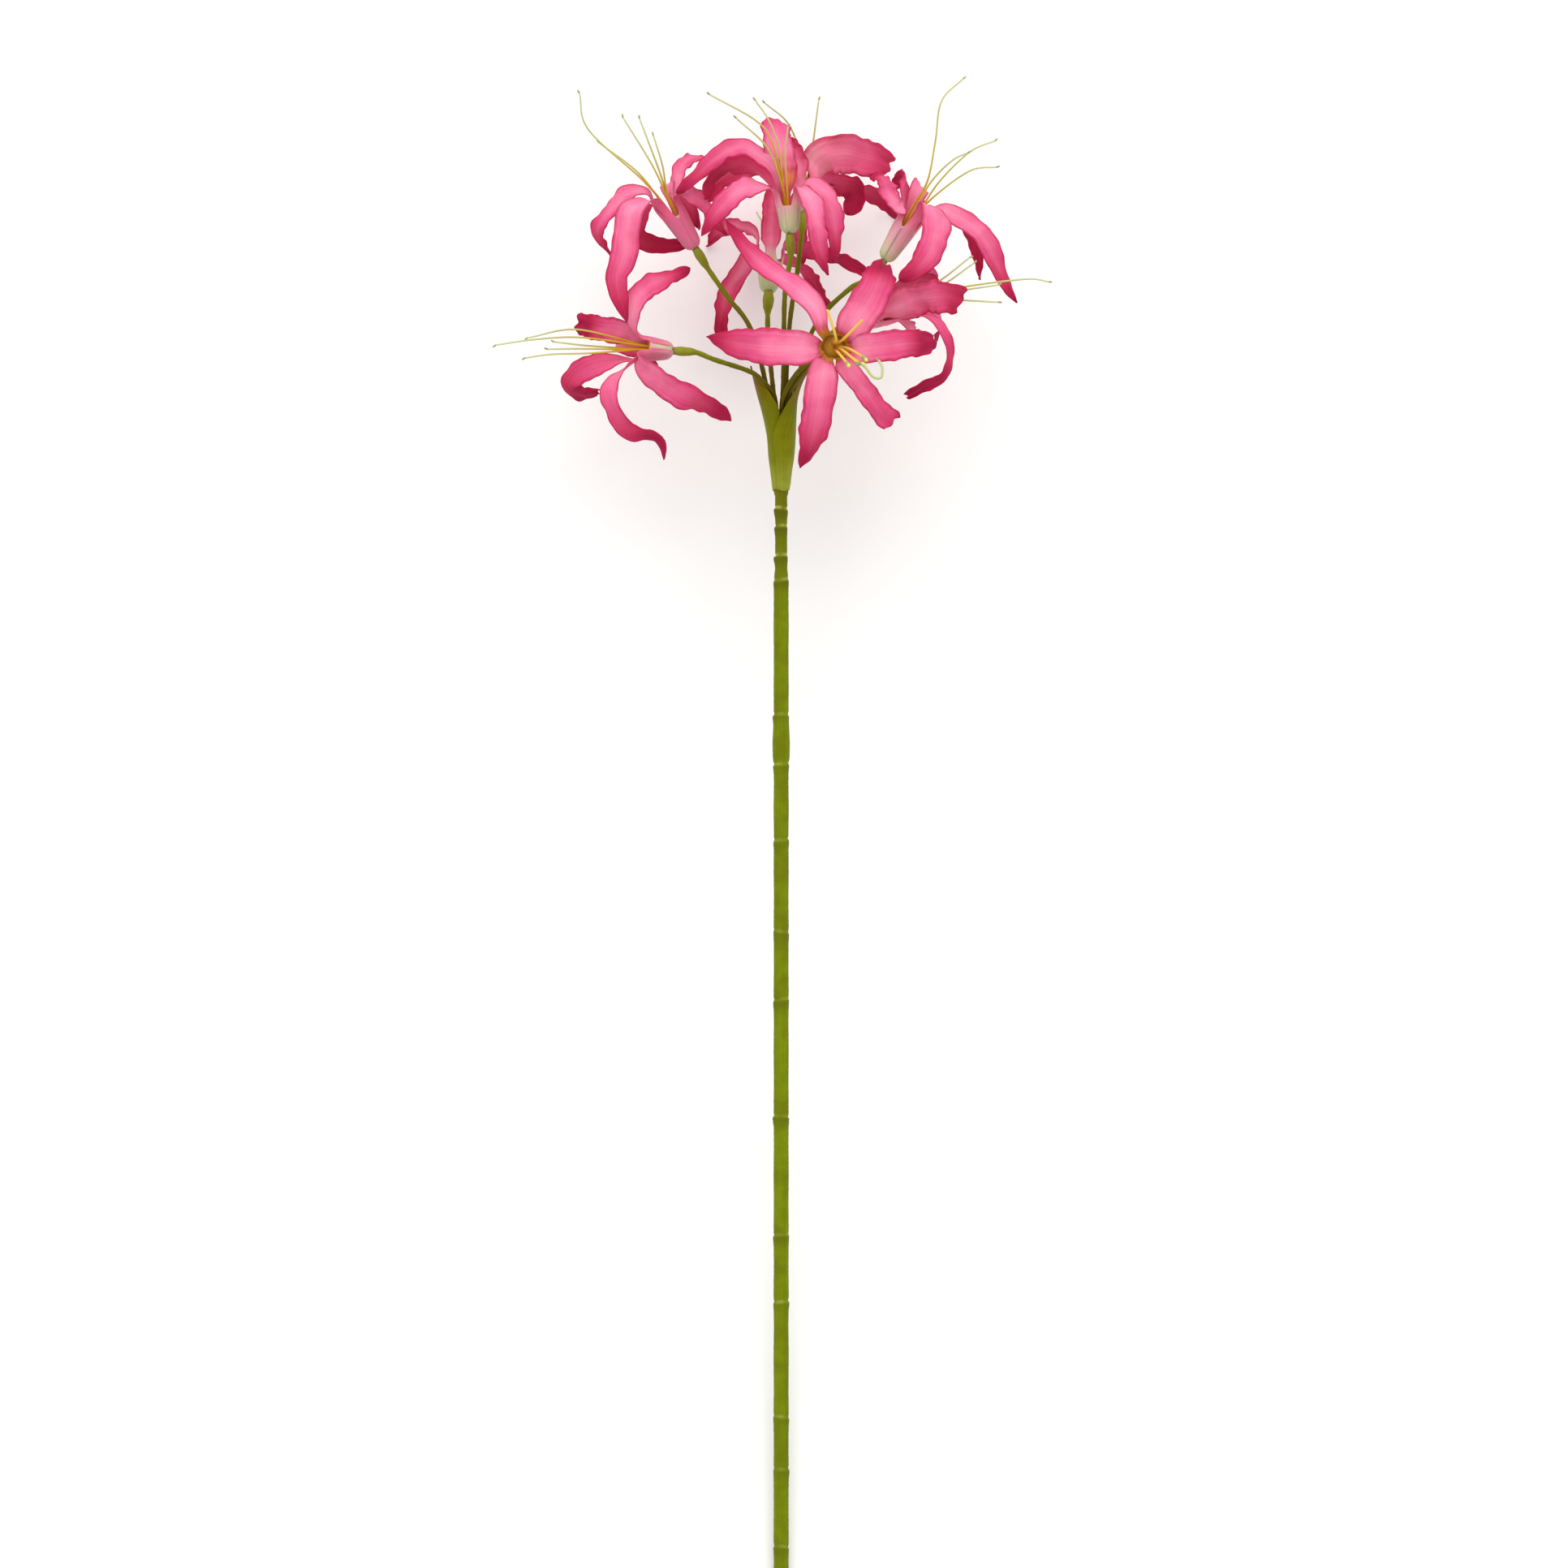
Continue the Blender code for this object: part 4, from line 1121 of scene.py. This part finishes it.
def makePedicel(name, node, floret, dice):
    base, mouth = (Vector(end) for end in floret["tube"])
    axis = (mouth - base).normalized()
    root = Vector((0, stem["top"] + pedicel["gap"], 0))
    if floret["root"] is not None:
        turn = math.radians(floret["root"])
        root += Vector((math.cos(turn), 0, math.sin(turn))) * pedicel["ring"]
    top = base - axis * pedicel["gap"]
    straight = top - axis * ovary["length"]
    risen = [root + Vector((0, height, 0)) for height in pedicel["rises"]]
    passed = [Vector(point) for point in floret["pedicel"]]
    points = [root, *risen, *passed, straight, straight.lerp(top, 0.5), top]
    path = alongCurve(points, pedicel["steps"])
    stretch = (path[1] - path[0]).length
    path = nudged([path[0], *path, path[-1]])
    last = len(path) - 1
    knot = dice.uniform(0, math.tau)

    def radiusAt(i, turn):
        # the path's first and last points are doubled, to close its ends
        if i in (0, last):
            return 0
        share = 1 - (last - 1 - i) * stretch / ovary["length"]
        if share < 0:
            rough = 0.06 * math.sin(i * 0.9 + knot) + 0.04 * math.sin(i * 2.3 + turn)
            grown = (i - 1) / (last - 2)
            wider = pedicel["radius"] - pedicel["rootRadius"]
            return pedicel["rootRadius"] + wider * grown + rough
        lobes = 1 - ovary["lobes"] * math.sin(share * math.pi) * (0.5 - 0.5 * math.cos(3 * turn))
        return profileAt(share, ovary["profile"]) * lobes * ovary["bulk"].get(node, 1.0)

    bm = bmesh.new()
    wrapTube(bm, path, radiusAt, pedicel["sides"])
    setTone(bm, 0.5)
    finishPiece(bm, name + "Pedicel", [pedicelGreen], "pedicel_green", node + "_pedicel")


for order, (node, floret) in enumerate(florets.items()):
    first, *rest = node.split("_")
    name = first + "".join(word.capitalize() for word in rest)
    dice = random.Random(order)
    makeTepals(name, node, floret, dice)
    makeStamens(name, node, floret, dice)
    makePedicel(name, node, floret, dice)
    print("floret done:", name)


# The floor, the light and the camera

stage = {
    "floorSize": 8.0,
    "floor": "f6f5f3",
    "floorRoughness": 0.9,
    "floorSpecular": 0.1,
    "ambient": 0.92,
    "sun": 1.5,
    "sunSize": 50,
    "from": (0.0, 0.8, 0.95),
}


def makeFloor():
    bm = bmesh.new()
    bmesh.ops.create_grid(bm, x_segments=1, y_segments=1, size=stage["floorSize"] / 2)
    mesh = bpy.data.meshes.new("floor")
    bm.to_mesh(mesh)
    bm.free()
    floor = bpy.data.objects.new("floor", mesh)
    bpy.context.scene.collection.objects.link(floor)
    material = bpy.data.materials.new("paleFloor")
    material.use_nodes = True
    shader = material.node_tree.nodes["Principled BSDF"]
    shader.inputs["Base Color"].default_value = rgb(stage["floor"])
    shader.inputs["Roughness"].default_value = stage["floorRoughness"]
    shader.inputs["Specular IOR Level"].default_value = stage["floorSpecular"]
    mesh.materials.append(material)


def makeLight():
    world = bpy.data.worlds.new("soft")
    world.use_nodes = True
    background = world.node_tree.nodes["Background"]
    background.inputs["Color"].default_value = white
    background.inputs["Strength"].default_value = stage["ambient"]
    bpy.context.scene.world = world
    lamp = bpy.data.lights.new("key", "SUN")
    lamp.energy = stage["sun"]
    lamp.angle = math.radians(stage["sunSize"])
    holder = bpy.data.objects.new("key", lamp)
    bpy.context.scene.collection.objects.link(holder)
    holder.rotation_euler = Vector(stage["from"]).to_track_quat("Z", "Y").to_euler()


# where the photograph has the stem's middle and the cup's foot, in its pixels
photo = {
    "side": 1932,
    "mmPerPixel": 0.4,
    "stemAt": 962.5,
    "cupFootAt": 604,
    "distance": 16000.0,
    "sensor": 36.0,
}


def makeCamera():
    # looks square on to the stem, with the frame's middle where the photograph has it
    middle = photo["side"] / 2
    across = (middle - photo["stemAt"]) * photo["mmPerPixel"]
    up = (photo["cupFootAt"] - middle) * photo["mmPerPixel"]
    lens = bpy.data.cameras.new("camera")
    lens.sensor_width = photo["sensor"]
    lens.lens = photo["sensor"] * photo["distance"] / (photo["side"] * photo["mmPerPixel"])
    lens.clip_end = 50
    camera = bpy.data.objects.new("camera", lens)
    bpy.context.scene.collection.objects.link(camera)
    camera.location = toWorld @ Vector((across, up, photo["distance"]))
    camera.rotation_euler = turned.to_euler()
    bpy.context.scene.camera = camera


makeFloor()
makeLight()
makeCamera()
bpy.context.scene.view_settings.view_transform = "Standard"
print("stage done")
